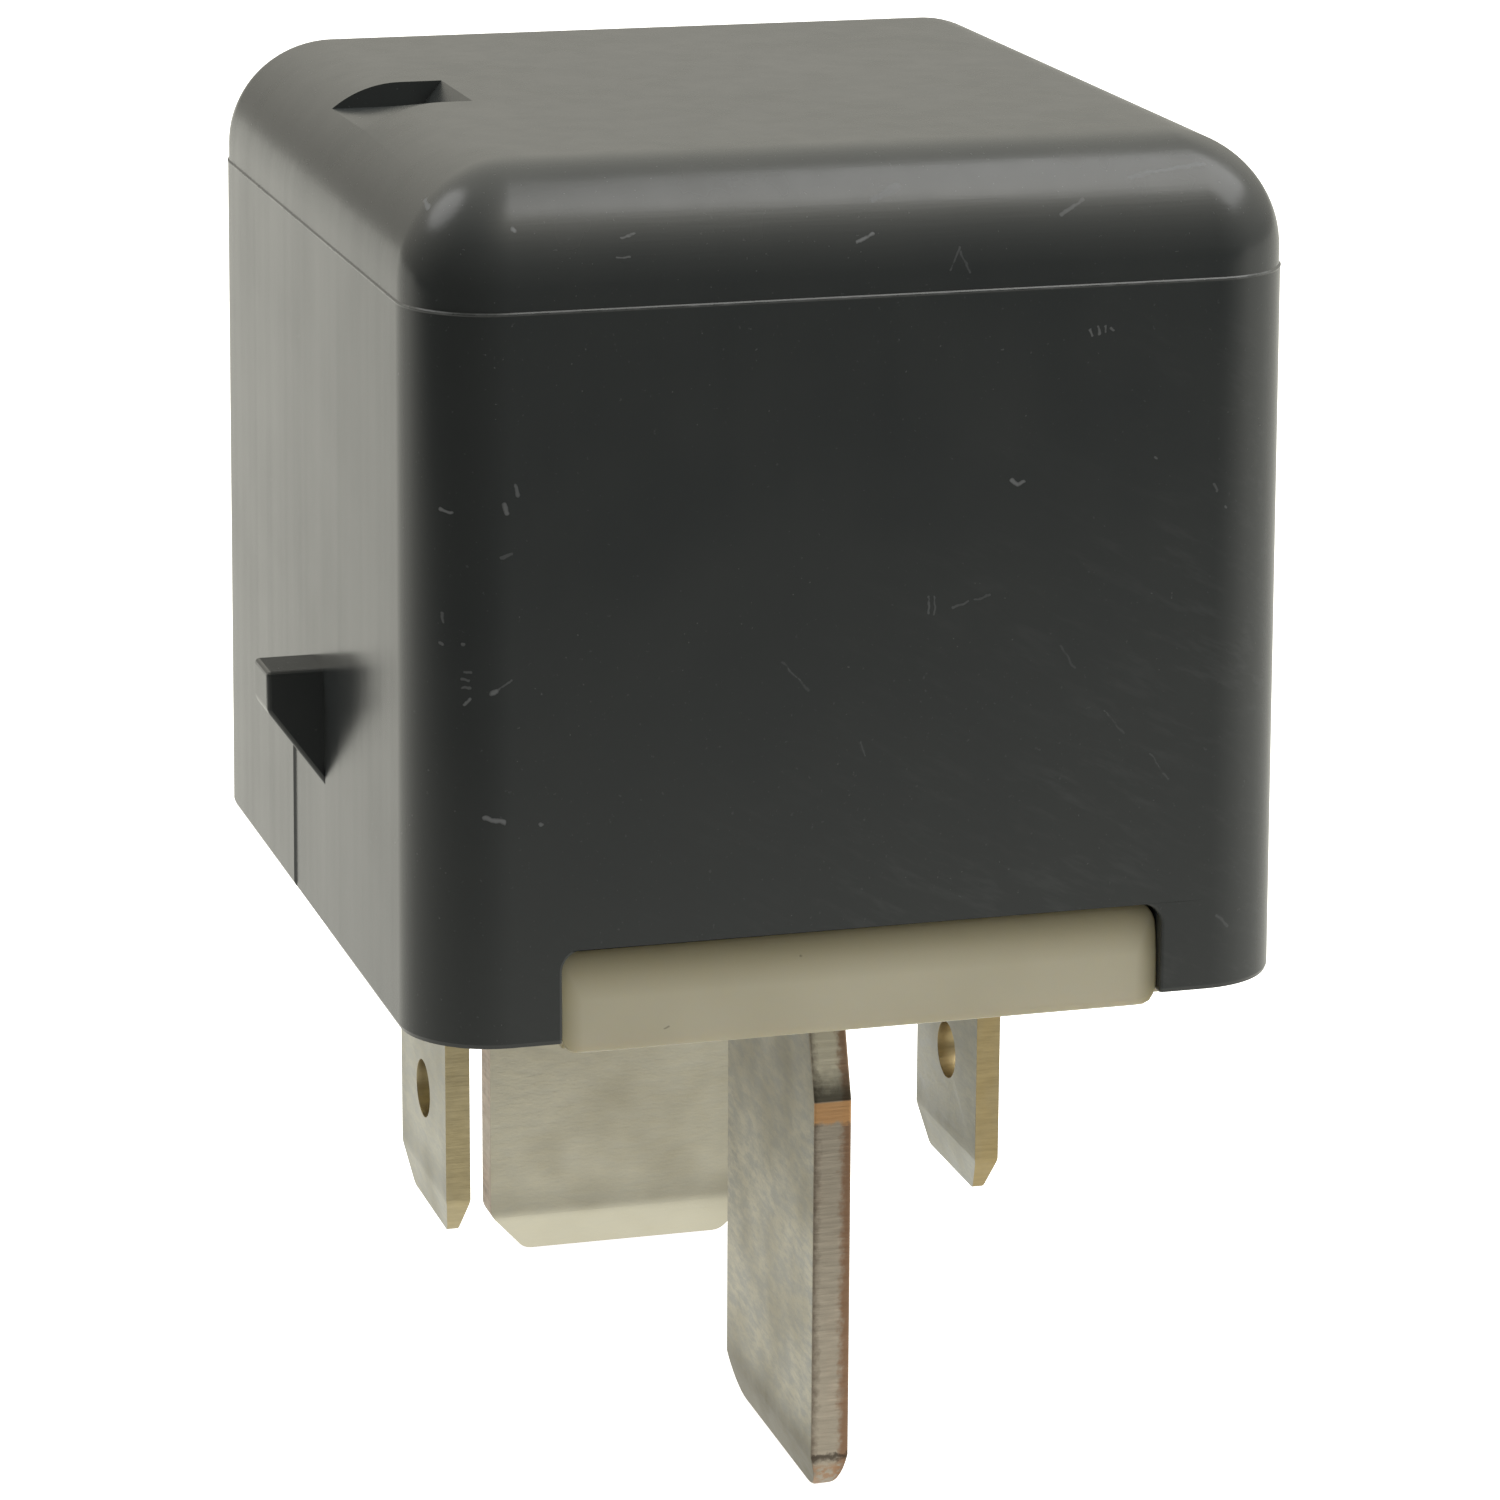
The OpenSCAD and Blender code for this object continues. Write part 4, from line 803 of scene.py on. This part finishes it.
def strip_metal(name, low, high, along, roughness, scratch=9.0):
    """Bare copper alloy with rolling lines, finger stains and a satin polish."""
    m, t, metal, place = surface(name, high, roughness, 1.0)
    rolled = grain(t, place, scratch, 3.0, 0.6, along)
    stain = grain(t, place, 0.5, 3.0, 0.6)
    t.links.new(blend(t, ramp(t, stain, 0.35, 0.68), high, low), metal.inputs["Base Color"])
    t.links.new(ramp(t, rolled, 0.3, 0.7, roughness - 0.07, roughness + 0.07), metal.inputs["Roughness"])
    bump(t, metal, rolled, 0.003)
    return m


m = strip_metal("spring_bronze", (0.52, 0.29, 0.14), (0.72, 0.45, 0.25), (1, 0.05, 1), 0.30)
dress("contact_spring", m, 0.03, 2)
m = strip_metal("brass_rivets", (0.58, 0.44, 0.20), (0.76, 0.62, 0.34), (1, 1, 1), 0.26, 4.0)
dress("leaf_rivets", m, 0.06)

m, t, silver, place = surface("contact_silver", (0.78, 0.77, 0.74), 0.36, 1.0)
struck = grain(t, place, 2.4, 4.0, 0.65)
colour = blend(t, ramp(t, struck, 0.45, 0.70), (0.80, 0.79, 0.76), (0.36, 0.34, 0.31))
t.links.new(colour, silver.inputs["Base Color"])
t.links.new(ramp(t, struck, 0.3, 0.7, 0.28, 0.50), silver.inputs["Roughness"])
bump(t, silver, struck, 0.012)
dress("moving_contact", m, 0.08)
dress("fixed_contact", m, 0.08)

m, t, music, place = surface("spring_wire", (0.46, 0.46, 0.47), 0.28, 1.0)
drawn = grain(t, place, 10.0, 2.0, 0.6)
t.links.new(blend(t, drawn, (0.34, 0.34, 0.35), (0.56, 0.56, 0.57)), music.inputs["Base Color"])
t.links.new(ramp(t, drawn, 0.3, 0.7, 0.22, 0.34), music.inputs["Roughness"])
bump(t, music, drawn, 0.003)
dress("return_spring", m, 0)

m, t, strands, place = surface("copper_braid", (0.72, 0.36, 0.20), 0.36, 1.0)
xyz = add(t, "SeparateXYZ", place)
run = calc(t, "ADD", xyz.outputs[2], xyz.outputs[1])
plait = 2 * math.pi / 0.75
over = calc(t, "SINE", calc(t, "MULTIPLY", calc(t, "ADD", xyz.outputs[0], run), plait))
back = calc(t, "SINE", calc(t, "MULTIPLY", calc(t, "SUBTRACT", xyz.outputs[0], run), plait))
weave = calc(t, "MAXIMUM", over, back)
hair = grain(t, place, 7.0, 2.0, 0.6)
copper = blend(t, hair, (0.50, 0.21, 0.10), (0.80, 0.42, 0.24))
# painted shade darkens the gaps between the plaits
copper = blend(t, ramp(t, weave, 0.45, -0.3), copper, (0.16, 0.06, 0.03))
t.links.new(copper, strands.inputs["Base Color"])
t.links.new(ramp(t, hair, 0.3, 0.7, 0.30, 0.46), strands.inputs["Roughness"])
woven = bump(t, strands, weave, 0.05)
bump(t, strands, hair, 0.02, woven)
dress("braid", m, 0.15)

# ---- Resistor --------------------------------------------------------------------------------
# A film resistor lies across the two coil blades and takes the coil's switch-off surge. Its tinned
# leads pass through the blades and are soldered there, as are the winding's ends.

m, t, lacquer, place = surface("resistor_lacquer", (0.20, 0.42, 0.50), 0.25, IOR=1.5, Coat_Weight=0.3)
x = add(t, "SeparateXYZ", place).outputs[0]
dipped = grain(t, place, 1.2, 3.0)
colour = blend(t, dipped, (0.16, 0.36, 0.44), (0.25, 0.48, 0.55))
# its four painted value rings have uneven edges
uneven = calc(t, "ADD", x, ramp(t, dipped, 0, 1, -0.06, 0.06))
for centre, paint in ((-2.0, (0.10, 0.22, 0.60)), (-1.1, (0.30, 0.30, 0.30)),
                      (-0.2, (0.13, 0.05, 0.02)), (1.9, (0.13, 0.05, 0.02))):
    ring = ramp(t, calc(t, "ABSOLUTE", calc(t, "SUBTRACT", uneven, centre)), 0.27, 0.23)
    colour = blend(t, ring, colour, paint)
t.links.new(colour, lacquer.inputs["Base Color"])
t.links.new(ramp(t, dipped, 0.3, 0.7, 0.20, 0.34), lacquer.inputs["Roughness"])
bump(t, lacquer, dipped, 0.03)
dress("resistor", m, 0)

m, t, wire, place = surface("tinned_wire", (0.72, 0.71, 0.68), 0.3, 1.0)
drawn = grain(t, place, 6.0, 3.0, 0.6, (0.1, 1, 1))
t.links.new(blend(t, drawn, (0.56, 0.55, 0.51), (0.80, 0.79, 0.76)), wire.inputs["Base Color"])
t.links.new(ramp(t, drawn, 0.3, 0.7, 0.24, 0.38), wire.inputs["Roughness"])
bump(t, wire, drawn, 0.003)
dress("resistor_leads", m, 0)

m, t, solder, place = surface("solder", (0.74, 0.74, 0.75), 0.2, 1.0)
frozen = grain(t, place, 2.6, 4.0, 0.6)
colour = blend(t, ramp(t, frozen, 0.4, 0.7), (0.80, 0.80, 0.81), (0.52, 0.51, 0.49))
t.links.new(colour, solder.inputs["Base Color"])
t.links.new(ramp(t, frozen, 0.3, 0.7, 0.14, 0.32), solder.inputs["Roughness"])
bump(t, solder, frozen, 0.03)
dress("solder_joints", m, 0)
